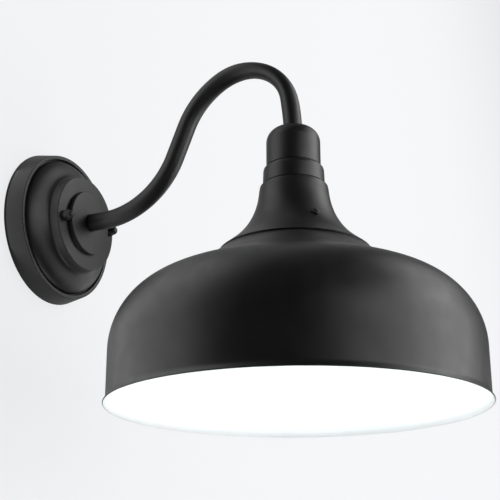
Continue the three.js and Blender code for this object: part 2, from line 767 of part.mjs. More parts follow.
// A lead from its wire connector, in through the arm, and out in the neck to its terminal screw.
function leadRoute(side, armSteps) {
  const connector = new THREE.Vector3(side * 18, -12, -22);
  const points = [
    new THREE.Vector3(connector.x, connector.y, connector.z - 8),
    connector,
    new THREE.Vector3(side * 13, -13, -10),
    new THREE.Vector3(side * 5, -18, -2),
  ];
  const inArm = armRoute.getSpacedPoints(armSteps);
  inArm.forEach((p) => points.push(new THREE.Vector3(side * 1.6, p.y, p.z)));
  const toTerminal = side < 0 ? 1 : -1;
  points.push(
    new THREE.Vector3(side * 1.4, -lampOut + toTerminal * 3.5, 38.6),
    new THREE.Vector3(side * 0.7, -lampOut + toTerminal * 11, 37.0),
    new THREE.Vector3(0, -lampOut + toTerminal * 15.6, 33.5),
    new THREE.Vector3(0, -lampOut + toTerminal * 15.1, terminalHeight + 3.8),
  );
  return new THREE.CatmullRomCurve3(points, false, 'centripetal');
}

function groundLeadRoute() {
  const tail = -(bossOut - sheet - 1.3);
  const screw = new THREE.Vector3(groundScrewX, 0, 0).applyAxisAngle(new THREE.Vector3(0, 1, 0), radians(-studTurn));
  const underHead = -(bracketThickness + groundHeadGap / 2);
  return new THREE.CatmullRomCurve3([
    new THREE.Vector3(terminalTail - 1.5, tail + 1.1, 0),
    new THREE.Vector3(terminalTail + 4, tail + 4, 2),
    new THREE.Vector3(31, -22, 10),
    new THREE.Vector3(30, -9, 13),
    new THREE.Vector3(screw.x + 6, underHead - 1.6, screw.z + 10),
    new THREE.Vector3(screw.x + 2.2, underHead, screw.z + 4.5),
    new THREE.Vector3(screw.x + 0.6, underHead, screw.z + groundScrewRadius + 1.4),
  ], false, 'centripetal');
}

// A twist-on connector: a ribbed cone, open at its upper end, where the lead goes in.
function connectorShape() {
  return turned([
    point(0, -26), point(3.6, -26), point(4.4, -24.5), point(6.0, -4), point(6.6, -3.4), point(6.6, 0),
    point(4.4, 0), point(2.6, -14), point(0, -14),
  ], 18);
}

function leadPieces() {
  const group = new THREE.Group();
  const leads = [['live', -1, blackInsulation], ['neutral', 1, whiteInsulation]];
  for (const [name, side, material] of leads) {
    group.add(makeMesh(`${name}_lead`, tube(leadRoute(side, 36), leadRadius, 42, 0, 3), material));
    const connector = makeMesh(`wire_connector_${name}`, connectorShape(), orangeCap);
    group.add(placed(connector, side * 18, -12, -20));
  }
  group.add(makeMesh('ground_lead', tube(groundLeadRoute(), 0.8, 18, 0, 3), copper));
  return group;
}

// ---------------------------------------------------------------- assembly

const lantern = new THREE.Group();
const lamp = new THREE.Group();
lamp.position.y = -lampOut;
lamp.add(neckPieces(), lampholderPieces(), bulbPieces());
lantern.add(wallPieces(), armPieces(), leadPieces(), lamp);

export default lantern;
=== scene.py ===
"""The looks of the gooseneck wall lantern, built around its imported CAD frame.

Shapes are written in millimetres about the lantern's own axes and become metres in put(). The wall is the
plane y = 0 and the lantern reaches out along -Y. "Out" means the distance from the wall, so y = -out.
"""

from math import acos, asin, atan2, copysign, cos, degrees, exp, pi, radians, sin, sqrt, tan, tau

import bmesh
import bpy
import numpy as np
from mathutils import Matrix, Vector


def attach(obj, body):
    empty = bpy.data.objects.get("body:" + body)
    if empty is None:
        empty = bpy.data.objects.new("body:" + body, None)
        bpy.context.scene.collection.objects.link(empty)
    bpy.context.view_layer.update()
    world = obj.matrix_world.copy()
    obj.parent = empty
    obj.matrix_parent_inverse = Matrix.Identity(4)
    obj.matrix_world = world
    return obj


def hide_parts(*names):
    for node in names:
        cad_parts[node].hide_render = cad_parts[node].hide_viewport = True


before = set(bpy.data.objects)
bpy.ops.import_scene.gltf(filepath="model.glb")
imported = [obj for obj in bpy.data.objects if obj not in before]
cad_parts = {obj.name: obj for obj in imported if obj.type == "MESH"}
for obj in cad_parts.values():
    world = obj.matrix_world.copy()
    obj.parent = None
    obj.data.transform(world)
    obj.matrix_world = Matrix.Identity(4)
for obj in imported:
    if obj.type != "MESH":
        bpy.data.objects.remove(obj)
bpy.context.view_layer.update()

MM = 0.001

# ---- dimensions, in millimetres

LAMP_OUT = 245.377  # the lamp's upright axis stands this far from the wall
SHEET = 1.2
GAP = 0.3

ARM_RADIUS = 8.0
ARM_WALL = 1.3
ARM_START_OUT = 28.0
ARM_STRAIGHT_OUT = 58.5
# A bend has its radius and the heading in degrees that it ends at, and a straight has its length.
ARM_BENDS = [("bend", 77, 68), ("straight", 30), ("bend", 74.5, 27.5), ("bend", 46, -80), ("bend", 200, -90)]
ARM_END_HEIGHT = 42.4
ARM_HOLE = ARM_RADIUS + GAP  # radius of every hole that the arm passes through

DOME_FOOT = (62.4, 14.2)  # radius and distance out where the canopy's dome leaves its groove
BOSS_RADIUS = 43.6
BOSS_OUT = 38.0
BOSS_RISE = 11.0  # from the dome's upper end to the boss's flat face
FLANGE_RADIUS = 29.4
FLANGE_OUT = 42.7

STUD_RADIUS = 2.08
STUD_HOLE = STUD_RADIUS + GAP
STUD_PITCH = 25.4 / 32
STUD_CIRCLE = 34.925
NUT_FLATS = 8.7
STUD_TURN = 6.5  # the bracket's lean from level, in degrees
BOX_SCREW_CIRCLE = 44.45  # half the spacing of an electrical box's screws
GROUND_SCREW_ALONG = 17.0  # from the bracket's middle

NECK_WALL = 2.0
NECK_RADIUS = 22.9
NECK_SHOULDER = 13.0  # radius of the neck's rounded top edge
NECK_SHOULDER_HEIGHT = 38.8
NECK_CEILING = 49.2
SKIRT_TOP = (28.9, -3.9)
UNDER_BELL = NECK_WALL + 0.4  # depth of the shade's collar under the bell's surface
RIM_RADIUS = 149.95
RIM_HEIGHT = -186.55
RIM_ANGLE = 58  # slope of the rim's lip at its edge, degrees below level
ENAMEL_SKIN = 0.12  # thickness of the white enamel inside the shade
SEAM = (62.4, -60.3)
SEAM_ANGLE = 40.3
SEAM_WIDTH = 0.9
SEAM_STEP = 1.2  # the bell's lip stands proud of the shade by this much
BELL_SCREW_HEIGHT = -37.5
BELL_SCREW_AZIMUTHS = (-132, -12, 108)

BULB_PITCH = 25.4 / 7
SOCKET_CEILING = 5.0
SOCKET_MOUTH = -24.0
STRAP_TOP = 48.9


# ---- outlines


def heading(angle):
    return np.array((cos(radians(angle)), sin(radians(angle))))


def bezier(start, start_angle, start_handle, end, end_angle, end_handle, count):
    """Points along a cubic curve between two points, each with its heading and handle length."""
    start, end = np.array(start, float), np.array(end, float)
    a = start + heading(start_angle) * start_handle
    b = end - heading(end_angle) * end_handle
    t = np.linspace(0, 1, count + 1)[:, None]
    return list((1 - t) ** 3 * start + 3 * (1 - t) ** 2 * t * a + 3 * (1 - t) * t * t * b + t**3 * end)


def arc(centre, radius, start, end, count):
    angles = [start + (end - start) * i / count for i in range(count + 1)]
    return [np.array(centre, float) + radius * heading(angle) for angle in angles]


def offset(points, distance):
    """A line of points moved sideways, to the right of its heading."""
    moved = []
    for i, p in enumerate(points):
        along = np.array(points[min(i + 1, len(points) - 1)]) - np.array(points[max(i - 1, 0)])
        along = along / np.linalg.norm(along)
        moved.append(np.array(p) + distance * np.array((along[1], -along[0])))
    return moved


def rounded(corners, closed=True, steps=5):
    """The outline through corners (a, b, radius), each rounded to its radius."""
    outline = []
    for i, (a, b, radius) in enumerate(corners):
        here = np.array((a, b), float)
        if radius == 0 or (not closed and i in (0, len(corners) - 1)):
            outline.append(here)
            continue
        back = np.array(corners[i - 1][:2], float) - here
        on = np.array(corners[(i + 1) % len(corners)][:2], float) - here
        back_length, on_length = np.linalg.norm(back), np.linalg.norm(on)
        back, on = back / back_length, on / on_length
        half = acos(max(-1.0, min(1.0, float(back @ on)))) / 2
        if half > radians(89):
            outline.append(here)
            continue
        reach = min(radius / tan(half), 0.49 * back_length, 0.49 * on_length)
        size = reach * tan(half)
        centre = here + (back + on) / np.linalg.norm(back + on) * size / sin(half)
        first, last = here + back * reach - centre, here + on * reach - centre
        angle = atan2(first[1], first[0])
        turn = (atan2(last[1], last[0]) - angle + pi) % (tau) - pi
        for k in range(steps + 1):
            at = angle + turn * k / steps
            outline.append(centre + size * np.array((cos(at), sin(at))))
    return outline


def ring_profile(inner, outer, low, high, edge=0.2):
    corners = [(inner, low, edge), (outer, low, edge), (outer, high, edge), (inner, high, edge)]
    return rounded(corners, steps=3)


# ---- meshes

CRISP_ANGLE = 32  # edges sharper than this many degrees stay crisp


def add_object(name, data):
    made = bpy.data.objects.new(name, data)
    bpy.context.scene.collection.objects.link(made)
    return made


def shade_smooth(mesh, sharp):
    mesh.polygons.foreach_set("use_smooth", [True] * len(mesh.polygons))
    mesh.set_sharp_from_angle(angle=radians(sharp))


def put(name, vertices, faces, sharp=CRISP_ANGLE):
    """A mesh object from points in millimetres, with its faces turned outwards."""
    mesh = bpy.data.meshes.new(name)
    mesh.from_pydata([tuple(v) for v in np.asarray(vertices, float) * MM], [], faces)
    return link(name, mesh, sharp)


def link(name, mesh, sharp=CRISP_ANGLE):
    work = bmesh.new()
    work.from_mesh(mesh)
    bmesh.ops.remove_doubles(work, verts=work.verts, dist=1e-7)
    bmesh.ops.dissolve_degenerate(work, dist=1e-7, edges=work.edges)
    bmesh.ops.recalc_face_normals(work, faces=work.faces)
    if work.calc_volume(signed=True) < 0:
        bmesh.ops.reverse_faces(work, faces=work.faces)
    work.to_mesh(mesh)
    work.free()
    shade_smooth(mesh, sharp)
    mesh.update()
    return add_object(name, mesh)


def transform(piece, matrix):
    """Moves a piece's own points, so that its object stays at the origin."""
    piece.data.transform(matrix)
    return piece


def grid_faces(rows, columns):
    """Quads between rows of points, each row a closed loop."""
    faces = []
    for row in range(0, (rows - 1) * columns, columns):
        for c in range(columns):
            after = (c + 1) % columns
            faces.append((row + c, row + after, row + columns + after, row + columns + c))
    return faces


def turned(name, profile, segments, shape=None, sharp=CRISP_ANGLE):
    """A piece turned about +Z. Its profile of (radius, height) closes, or starts and ends on the axis.
    shape(radius, height, angle) may give the radius all the way round, for hexagons, ribs and threads."""
    profile = [np.array(p, float) for p in profile]
    on_axis = abs(profile[0][0]) < 1e-9 and abs(profile[-1][0]) < 1e-9
    if not on_axis:
        profile.append(profile[0])
    radius = np.array([p[0] for p in profile])
    height = np.array([p[1] for p in profile])
    angle = np.arange(segments) * tau / segments
    r, a = np.meshgrid(radius, angle, indexing="ij")
    z, _ = np.meshgrid(height, angle, indexing="ij")
    if shape:
        r = shape(r, z, a)
    vertices = np.stack([r * np.cos(a), r * np.sin(a), z], -1).reshape(-1, 3)
    return put(name, vertices, grid_faces(len(profile), segments), sharp)


def shift(x=0.0, y=0.0, z=0.0):
    return Matrix.Translation((x * MM, y * MM, z * MM))


def spin(angle, axis):
    return Matrix.Rotation(radians(angle), 4, axis)


def to_wall_axis(piece):
    """Turns a piece drawn about +Z so that +Z points out from the wall."""
    return transform(piece, spin(90, "X"))


def to_lamp_axis(piece):
    return transform(piece, shift(y=-LAMP_OUT))


def lamp_turned(*details, **settings):
    return to_lamp_axis(turned(*details, **settings))


def to_bracket(piece, along=0.0, lift=0.0):
    """Moves a piece drawn about +Z to a place along the bracket, with +Z pointing out from the wall."""
    return transform(piece, spin(-STUD_TURN, "Y") @ spin(90, "X") @ shift(along, 0, lift))


def apply_modifiers(piece):
    depsgraph = bpy.context.evaluated_depsgraph_get()
    mesh = bpy.data.meshes.new_from_object(piece.evaluated_get(depsgraph))
    piece.modifiers.clear()
    piece.data = mesh
    shade_smooth(mesh, CRISP_ANGLE)


def combine(piece, other, operation):
    """Cuts other from piece, or joins it on, and removes other."""
    modifier = piece.modifiers.new("combine", "BOOLEAN")
    modifier.operation = operation
    modifier.solver = "EXACT"
    modifier.object = other
    bpy.context.view_layer.update()
    apply_modifiers(piece)
    bpy.data.objects.remove(other)
    return piece


def block(width, depth, height, centre):
    """A plain cutter, which is never shown."""
    corners = [(x, y, z) for z in (-0.5, 0.5) for y in (-0.5, 0.5) for x in (-0.5, 0.5)]
    vertices = [(centre[0] + x * width, centre[1] + y * depth, centre[2] + z * height) for x, y, z in corners]
    faces = [(0, 2, 3, 1), (4, 5, 7, 6), (0, 1, 5, 4), (2, 6, 7, 3), (0, 4, 6, 2), (1, 3, 7, 5)]
    return put("cutter", vertices, faces)


def plate(name, outlines, low, high, edge=0.25):
    """A flat plate from an outline and its holes, between two heights, with rounded edges."""
    curve = bpy.data.curves.new(name, "CURVE")
    curve.dimensions = "2D"
    curve.fill_mode = "BOTH"
    curve.extrude = ((high - low) / 2 - edge) * MM
    curve.bevel_depth = edge * MM
    curve.bevel_resolution = 2
    curve.offset = -edge * MM
    for outline in outlines:
        spline = curve.splines.new("POLY")
        spline.points.add(len(outline) - 1)
        for point, (x, y) in zip(spline.points, outline):
            point.co = (x * MM, y * MM, 0, 1)
        spline.use_cyclic_u = True
    drawn = add_object(name + "_drawn", curve)
    bpy.context.view_layer.update()
    mesh = bpy.data.meshes.new_from_object(drawn.evaluated_get(bpy.context.evaluated_depsgraph_get()))
    bpy.data.objects.remove(drawn)
    bpy.data.curves.remove(curve)
    piece = link(name, mesh)
    return transform(piece, shift(z=(low + high) / 2))


def sweep(name, points, radii, sides=32, bore=None):
    """A round tube along points, with (in-plane, sideways) radii at each, hollow when it has a bore.
    Each section keeps its sides in step with the one before it."""
    points = np.asarray(points, float)
    along = np.gradient(points, axis=0)
    along /= np.linalg.norm(along, axis=1)[:, None]
    side = np.array((1.0, 0, 0)) if abs(along[0][0]) < 0.9 else np.array((0, 0, 1.0))
    angles = np.arange(sides) * tau / sides
    outer, inner = [], []
    for i, p in enumerate(points):
        side = side - along[i] * (side @ along[i])
        side /= np.linalg.norm(side)
        up = np.cross(along[i], side)
        in_plane, sideways = radii[i]
        shape = np.outer(np.cos(angles) * sideways, side) + np.outer(np.sin(angles) * in_plane, up)
        outer.append(p + shape)
        if bore:
            inner.append(p + shape * (1 - bore / in_plane))
    rows = len(points)
    vertices = np.concatenate(outer)
    faces = grid_faces(rows, sides)
    if bore:
        count = len(vertices)
        vertices = np.concatenate([vertices, *inner])
        faces += [tuple(count + k for k in reversed(face)) for face in grid_faces(rows, sides)]
        for row in (0, rows - 1):
            start = row * sides
            for k in range(sides):
                n = (k + 1) % sides
                faces.append((start + k, start + n, count + start + n, count + start + k))
    else:
        faces += [tuple(range(sides)), tuple((rows - 1) * sides + k for k in reversed(range(sides)))]
    return put(name, vertices, faces, sharp=45)


def smooth_line(points, per_span=6):
    """A centripetal Catmull-Rom line through points."""
    p = [np.array(q, float) for q in points]
    p = [2 * p[0] - p[1], *p, 2 * p[-1] - p[-2]]
    line = []
    for i in range(1, len(p) - 2):
        d0, d1, d2 = (sqrt(np.linalg.norm(p[k + 1] - p[k])) for k in (i - 1, i, i + 1))
        m1 = ((p[i] - p[i - 1]) / d0 - (p[i + 1] - p[i - 1]) / (d0 + d1) + (p[i + 1] - p[i]) / d1) * d1
        m2 = ((p[i + 1] - p[i]) / d1 - (p[i + 2] - p[i]) / (d1 + d2) + (p[i + 2] - p[i + 1]) / d2) * d1
        for k in range(per_span):
            t = k / per_span
            line.append(
                (2 * t**3 - 3 * t * t + 1) * p[i] + (t**3 - 2 * t * t + t) * m1
                + (3 * t * t - 2 * t**3) * p[i + 1] + (t**3 - t * t) * m2
            )
    line.append(p[-2])
    return line


# ---- materials

NOISE_LOW, NOISE_HIGH = 0.3, 0.7  # most of a noise texture's values lie between these
GLOBE_GLOW = 13.0


def set_sockets(node, **values):
    """Sets a node's sockets by their names, with _ for each space."""
    for socket, value in values.items():
        node.inputs[socket.replace("_", " ")].default_value = value


class Look:
    """A procedural material around one Principled shader, with texture in the piece's own coordinates."""

    def __init__(self, name, colour, roughness, metallic=0.0, **sockets):
        self.material = bpy.data.materials.new(name)
        self.material.use_nodes = True
        self.tree = self.material.node_tree
        self.shader = self.tree.nodes["Principled BSDF"]
        set_sockets(self.shader, Base_Color=(*colour, 1), Roughness=roughness, Metallic=metallic, **sockets)
        self.material.diffuse_color = (*colour, 1)
        self.place = self.node("TexCoord").outputs["Object"]
        self.height = None

    def node(self, kind, **settings):
        made = self.tree.nodes.new("ShaderNode" + kind)
        for key, value in settings.items():
            setattr(made, key, value)
        return made

    def join(self, source, target):
        self.tree.links.new(source, target)

    def texture(self, kind, output, scale, **sockets):
        """A texture in the piece's own coordinates, with its scale along each axis."""
        mapping = self.node("Mapping")
        set_sockets(mapping, Scale=scale)
        self.join(self.place, mapping.inputs["Vector"])
        made = self.node(kind)
        set_sockets(made, Scale=1.0, **sockets)
        self.join(mapping.outputs["Vector"], made.inputs["Vector"])
        return made.outputs[output]

    def noise(self, size_mm, detail=3.0, roughness=0.5, stretch=(1, 1, 1)):
        """Noise whose blobs are about a size in millimetres."""
        scale = [s / (size_mm * MM) for s in stretch]
        return self.texture("TexNoise", "Fac", scale, Detail=detail, Roughness=roughness)

    def spread(self, source, low, high, out_low=0.0, out_high=1.0):
        """source, with low..high stretched to out_low..out_high."""
        made = self.node("MapRange", interpolation_type="SMOOTHSTEP")
        set_sockets(made, From_Min=low, From_Max=high, To_Min=out_low, To_Max=out_high)
        self.join(source, made.inputs["Value"])
        return made.outputs["Result"]

    def colours(self, source, *stops):
        """Colours the surface along source, from (position, colour) stops."""
        ramp = self.node("ValToRGB")
        while len(ramp.color_ramp.elements) < len(stops):
            ramp.color_ramp.elements.new(0.5)
        for element, (position, colour) in zip(ramp.color_ramp.elements, stops):
            element.position = position
            element.color = (*colour, 1)
        self.join(source, ramp.inputs["Fac"])
        return ramp.outputs["Color"]

    def mottle(self, size_mm, detail, low, high):
        """A colour that drifts between two tones, over blobs of about a size."""
        return self.colours(self.noise(size_mm, detail), (NOISE_LOW, low), (NOISE_HIGH, high))

    def paint(self, colour):
        self.join(colour, self.shader.inputs["Base Color"])

    def rough(self, source, smoothest, roughest):
        roughness = self.spread(source, NOISE_LOW, NOISE_HIGH, smoothest, roughest)
        self.join(roughness, self.shader.inputs["Roughness"])

    def bump(self, source, depth_mm, strength=1.0):
        """Raises the surface by source, on top of any bump before it."""
        made = self.node("Bump")
        set_sockets(made, Strength=strength, Distance=depth_mm * MM)
        self.join(source, made.inputs["Height"])
        if self.height:
            self.join(self.height, made.inputs["Normal"])
        self.height = made.outputs["Normal"]
        self.join(self.height, self.shader.inputs["Normal"])
        return self

    def blend(self, source, first, second):
        """first where source is 0 and second where it is 1."""
        made = self.node("Mix", data_type="RGBA")
        self.join(source, made.inputs["Factor"])
        for socket, value in ((made.inputs[6], first), (made.inputs[7], second)):
            if isinstance(value, tuple):
                socket.default_value = (*value, 1)
            else:
                self.join(value, socket)
        return made.outputs[2]


def powder_coat():
    """Black powder coat: fine orange peel over a fine grain, with a little dust and slow changes of gloss."""
    look = Look("black_powder_coat", (0.007, 0.007, 0.0075), 0.43, Specular_IOR_Level=0.5)
    grain = look.noise(0.55, 2, 0.6)
    peel = look.noise(2.2, 2)
    base = look.mottle(45, 2, (0.006, 0.006, 0.0065), (0.0085, 0.0085, 0.009))
    dust = look.spread(look.noise(0.35, 1), 0.74, 0.8)
    look.paint(look.blend(look.spread(dust, 0, 1, 0, 0.35), base, (0.04, 0.04, 0.04)))
    look.rough(look.noise(14), 0.4, 0.46)
    return look.bump(peel, 0.03, 0.35).bump(grain, 0.012, 0.5).material


def white_enamel():
    """Satin white enamel: a very faint change of tone and a fine orange peel."""
    look = Look("white_enamel", (0.9, 0.915, 0.915), 0.5, Specular_IOR_Level=0.4)
    look.paint(look.mottle(60, 2, (0.89, 0.905, 0.905), (0.91, 0.92, 0.92)))
    look.rough(look.noise(20), 0.46, 0.54)
    return look.bump(look.noise(2.6, 2), 0.01, 0.3).material


def zinc_plate():
    """Bright zinc: a cool metal with a faint yellow and blue bloom, drawn lines and small dull spots."""
    look = Look("zinc_plate", (0.62, 0.63, 0.65), 0.32, 1.0)
    bloom = look.colours(
        look.noise(7, 3), (0.3, (0.58, 0.6, 0.64)), (0.55, (0.66, 0.66, 0.67)), (0.75, (0.66, 0.63, 0.55))
    )
    spots = look.spread(look.noise(1.4, 3, 0.7), 0.62, 0.72)
    look.paint(look.blend(look.spread(spots, 0, 1, 0, 0.5), bloom, (0.4, 0.41, 0.42)))
    look.rough(look.noise(1.8, 4, 0.6), 0.22, 0.42)
    return look.bump(look.noise(0.35, 2, stretch=(0.06, 1, 1)), 0.01, 0.4).material


def bright_metal(name, low, high, roughness):
    """A plated or bare metal with a slow change of tone, a fine grain and small scuffs."""
    look = Look(name, high, roughness, 1.0)
    look.paint(look.mottle(5, 3, low, high))
    look.rough(look.noise(1.2, 4, 0.65), roughness * 0.75, roughness * 1.4)
    return look.bump(look.noise(0.4, 2, stretch=(1, 1, 0.12)), 0.008, 0.35).material


def foam_rubber():
    """Closed-cell foam: a dull black with open pores, each painted darker towards its middle as painted shade
    in its hollow.
    """
    look = Look("foam_rubber", (0.03, 0.03, 0.03), 0.92, Specular_IOR_Level=0.3)
    pore_size = 0.9
    pores = look.texture("TexVoronoi", "Distance", [1 / (pore_size * MM)] * 3)
    # painted shade: each pore is darker towards its middle, where the bump sinks it deepest
    look.paint(look.colours(pores, (0.1, (0.012, 0.012, 0.012)), (0.6, (0.038, 0.038, 0.039))))
    return look.bump(pores, 0.25, 0.8).material


def plain_solid(name, low, high, roughness, blob_mm=3.0, grain_mm=0.3, depth_mm=0.01, **sockets):
    """A moulded, fired or dipped material: soft tone changes, a fine grain and uneven gloss."""
    look = Look(name, high, roughness, **sockets)
    look.paint(look.mottle(blob_mm, 3, low, high))
    look.rough(look.noise(blob_mm * 0.7), roughness * 0.8, roughness * 1.2)
    return look.bump(look.noise(grain_mm, 2), depth_mm, 0.4).material


def porcelain():
    """Glazed porcelain: a warm white body with fine specks under a clear glaze."""
    look = Look(
        "porcelain", (0.8, 0.78, 0.72), 0.35,
        Coat_Weight=0.8, Coat_Roughness=0.08, Subsurface_Weight=0.1, Subsurface_Scale=0.001,
    )
    body = look.mottle(9, 2, (0.77, 0.75, 0.69), (0.83, 0.81, 0.76))
    specks = look.spread(look.noise(0.6, 1), 0.76, 0.8)
    look.paint(look.blend(specks, body, (0.35, 0.27, 0.2)))
    return look.bump(look.noise(4, 2), 0.03, 0.3).material


def lit_globe():
    """The lit frosted globe: a cool white glow, even all over."""
    look = Look(
        "frosted_globe", (0.9, 0.9, 0.9), 0.45,
        Specular_IOR_Level=0.5, Emission_Color=(0.9, 0.985, 1.0, 1), Emission_Strength=GLOBE_GLOW,
    )
    look.paint(look.mottle(12, 2, (0.88, 0.89, 0.89), (0.93, 0.93, 0.93)))
    return look.bump(look.noise(0.25, 1), 0.01, 0.4).material


# A darker tone, a lighter tone, and a roughness.
METALS = {
    "nickel_plate": ((0.6, 0.58, 0.54), (0.7, 0.69, 0.66), 0.22),
    "brass": ((0.62, 0.42, 0.15), (0.76, 0.56, 0.26), 0.26),
    "copper": ((0.52, 0.22, 0.11), (0.72, 0.38, 0.22), 0.3),
    "green_plate": ((0.03, 0.25, 0.09), (0.07, 0.4, 0.16), 0.34),
}

# The same, and what else differs from a plain solid.
SOLIDS = {
    "black_rubber": ((0.012, 0.012, 0.012), (0.022, 0.022, 0.022), 0.75, {"depth_mm": 0.02}),
    "nylon": ((0.72, 0.7, 0.63), (0.82, 0.8, 0.74), 0.45, {"Subsurface_Weight": 0.2}),
    "black_insulation": ((0.014, 0.014, 0.014), (0.024, 0.024, 0.024), 0.42, {}),
    "white_insulation": ((0.7, 0.7, 0.67), (0.8, 0.8, 0.78), 0.42, {}),
    "orange_plastic": ((0.68, 0.17, 0.02), (0.82, 0.25, 0.04), 0.4, {"grain_mm": 0.5}),
    "white_plastic": ((0.8, 0.8, 0.78), (0.87, 0.87, 0.86), 0.38, {"blob_mm": 8}),
    "white_board": ((0.82, 0.82, 0.8), (0.9, 0.9, 0.89), 0.5, {}),
    "black_glass": ((0.012, 0.01, 0.012), (0.024, 0.018, 0.02), 0.08, {"blob_mm": 2}),
}

LOOKS = {
    "black_paint": powder_coat(),
    "white_enamel": white_enamel(),
    "zinc_steel": zinc_plate(),
    "foam_rubber": foam_rubber(),
    "porcelain": porcelain(),
    "frosted_globe": lit_globe(),
}
for metal, (dark, light, gloss) in METALS.items():
    LOOKS[metal] = bright_metal(metal, dark, light, gloss)
for solid, (dark, light, gloss, extras) in SOLIDS.items():
    LOOKS[solid] = plain_solid(solid, dark, light, gloss, **extras)


def finish_piece(piece, slot, *nodes, body="lantern"):
    """Gives a piece its look and its body, and hides the CAD nodes that it stands for."""
    piece.data.materials.clear()
    piece.data.materials.append(LOOKS[slot])
    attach(piece, body)
    if nodes:
        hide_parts(*nodes)
    return piece


# ---- canopy and wall pieces


def canopy_piece():
    """A deep wall cup: a tapered side, a narrow groove, a dome and a raised boss."""
    boss_foot = BOSS_OUT - BOSS_RISE
    outside = rounded(
        [(70.6, 0, 0), (67.2, 17.7, 0.9), (63.8, 17.5, 0.7), (63.4, 13.9, 0.6), (*DOME_FOOT, 0)],
        False,
    )
    dome = bezier(DOME_FOOT, 90, 7, (BOSS_RADIUS + 3.4, boss_foot), 148, 6, 28)
    boss = rounded(
        [(*dome[-1], 0), (BOSS_RADIUS + 0.6, boss_foot + 2.2, 4.5), (BOSS_RADIUS, BOSS_OUT, 1.1),
         (ARM_HOLE, BOSS_OUT, 0)],
        False, 8,
    )
    inside = rounded(
        [(ARM_HOLE, BOSS_OUT - SHEET, 0), (BOSS_RADIUS - 1, BOSS_OUT - SHEET, 1.2),
         (BOSS_RADIUS - SHEET, BOSS_OUT - 5, 0), (BOSS_RADIUS + 0.1, boss_foot + 1.6, 0)],
        False,
    )
    under = offset(dome, -SHEET)[1:-3][::-1]
    back = [(61.2, 12.9), (64.6, 12.7), (66.2, 14.2), (69.4, 0)]
    piece = turned("canopy_cup", [*outside, *dome[1:-1], *boss, *inside, *under, *back], 256)
    to_wall_axis(piece)
    for side in (-1, 1):
        hole = to_bracket(turned("cutter", [(0, 30), (2.7, 30), (2.7, 45), (0, 45)], 32), side * STUD_CIRCLE)
        combine(piece, hole, "DIFFERENCE")
    return piece


def hexagon(flats):
    """The shape of a hexagon of a width across its flats, which stays within the turned profile."""

    def radius(r, z, a):
        across = flats / 2 / np.cos((a + pi / 6) % (pi / 3) - pi / 6)
        return np.where(r > flats * 0.45, np.minimum(r, across), r)

    return radius


def hex_nut(name, flats, bore, low, high):
    """A nut between two heights, with both its ends chamfered."""
    corner = flats / 2 / cos(pi / 6)
    chamfer = (corner - flats / 2) * 1.35
    levels = np.linspace(0, 1, 7)
    side = [(corner - chamfer * (1 - t) ** 2, low + 0.45 * chamfer * t) for t in levels]
    side += [(corner - chamfer * t**2, high - 0.45 * chamfer * (1 - t)) for t in levels]
    inner = [(bore + 0.5, high), (bore, high - 0.5), (bore, low + 0.5), (bore + 0.5, low)]
    return turned(name, [*side, *inner], 144, hexagon(flats), sharp=20)


def cap_nut(name):
    """A domed cap nut: a chamfered hexagon with a dome, and a blind bore for its stud."""
    base, shoulder = 39.4, 43.2
    corner = NUT_FLATS / 2 / cos(pi / 6)
    dome_radius = NUT_FLATS / 2 - 0.3
    side = [(corner - 0.75, base), (corner - 0.2, base + 0.2), (corner, base + 0.55)]
    top = [(corner - 1.3 * t**2, shoulder - 0.35 * (1 - t)) for t in np.linspace(0, 1, 7)]
    collar = [(dome_radius + 0.12, shoulder + 0.05), (dome_radius, shoulder + 0.3)]
    dome = arc((0, shoulder + 1), dome_radius, 0, 90, 14)
    dome[-1][0] = 0
    bore = [(0, base + 5), (STUD_HOLE, base + 5), (STUD_HOLE, base + 0.4), (STUD_RADIUS + 0.7, base)]
    return turned(name, [*bore, *side, *top, *collar, *dome], 144, hexagon(NUT_FLATS), sharp=20)


def thread(crest, depth, pitch, low, high, fade, sheet=0.01):
    """The shape of a right-hand thread that fades out at its ends. Points less than sheet inside its crest
    follow it, so both sides of a rolled shell do."""

    def shape(r, z, a):
        wave = 0.5 - 0.5 * np.cos(tau * z / pitch - a)
        strength = np.clip((z - low) / fade, 0, 1) * np.clip((high - z) / fade, 0, 1)
        return np.where(r > crest - sheet, r - depth * wave * strength, r)

    return shape


def stud(name):
    """A threaded rod with chamfered ends."""
    low, high, chamfer = 0.2, 43.6, 0.45
    steps = int((high - low - 1) / STUD_PITCH * 6)
    side = [(STUD_RADIUS, z) for z in np.linspace(low + 0.5, high - 0.5, steps)]
    profile = [(0, low), (STUD_RADIUS - chamfer, low), *side, (STUD_RADIUS - chamfer, high), (0, high)]
    turns = thread(STUD_RADIUS, 0.42, STUD_PITCH, low + 0.5, high - 0.5, 0.4)
    return turned(name, profile, 24, turns, sharp=80)


def slotted_screw(name, head_radius, head_height, shank, length, slot_width):
    """A screw along +Z, with its shank's radius and length. Its slotted head stands above the height 0."""
    rise = head_height * 0.4
    crown = bezier((head_radius, head_height * 0.45), 90, rise, (0, head_height), 180, head_radius * 0.7, 10)
    profile = [
        (0, -length), (shank * 0.7, -length), (shank, -length + shank * 0.4), (shank, -0.15),
        (shank + 0.15, 0), (head_radius - 0.2, 0), (head_radius, 0.2), *crown[:-1], (0, head_height),
    ]
    piece = turned(name, profile, 64)
    cutter = block(head_radius * 2.4, slot_width, head_height, (0, 0, head_height * 0.98))
    return combine(piece, cutter, "DIFFERENCE")


def circle(x, radius, count):
    angles = np.arange(count) * tau / count
    return [(x + radius * cos(t), radius * sin(t)) for t in angles]


def long_slot(middle, half, radius, count=16):
    """A slot with round ends, whose centres lie half either side of its middle."""
    return [
        *arc((middle + half, 0), radius, -90, 90, count - 1),
        *arc((middle - half, 0), radius, 90, 270, count - 1),
    ]


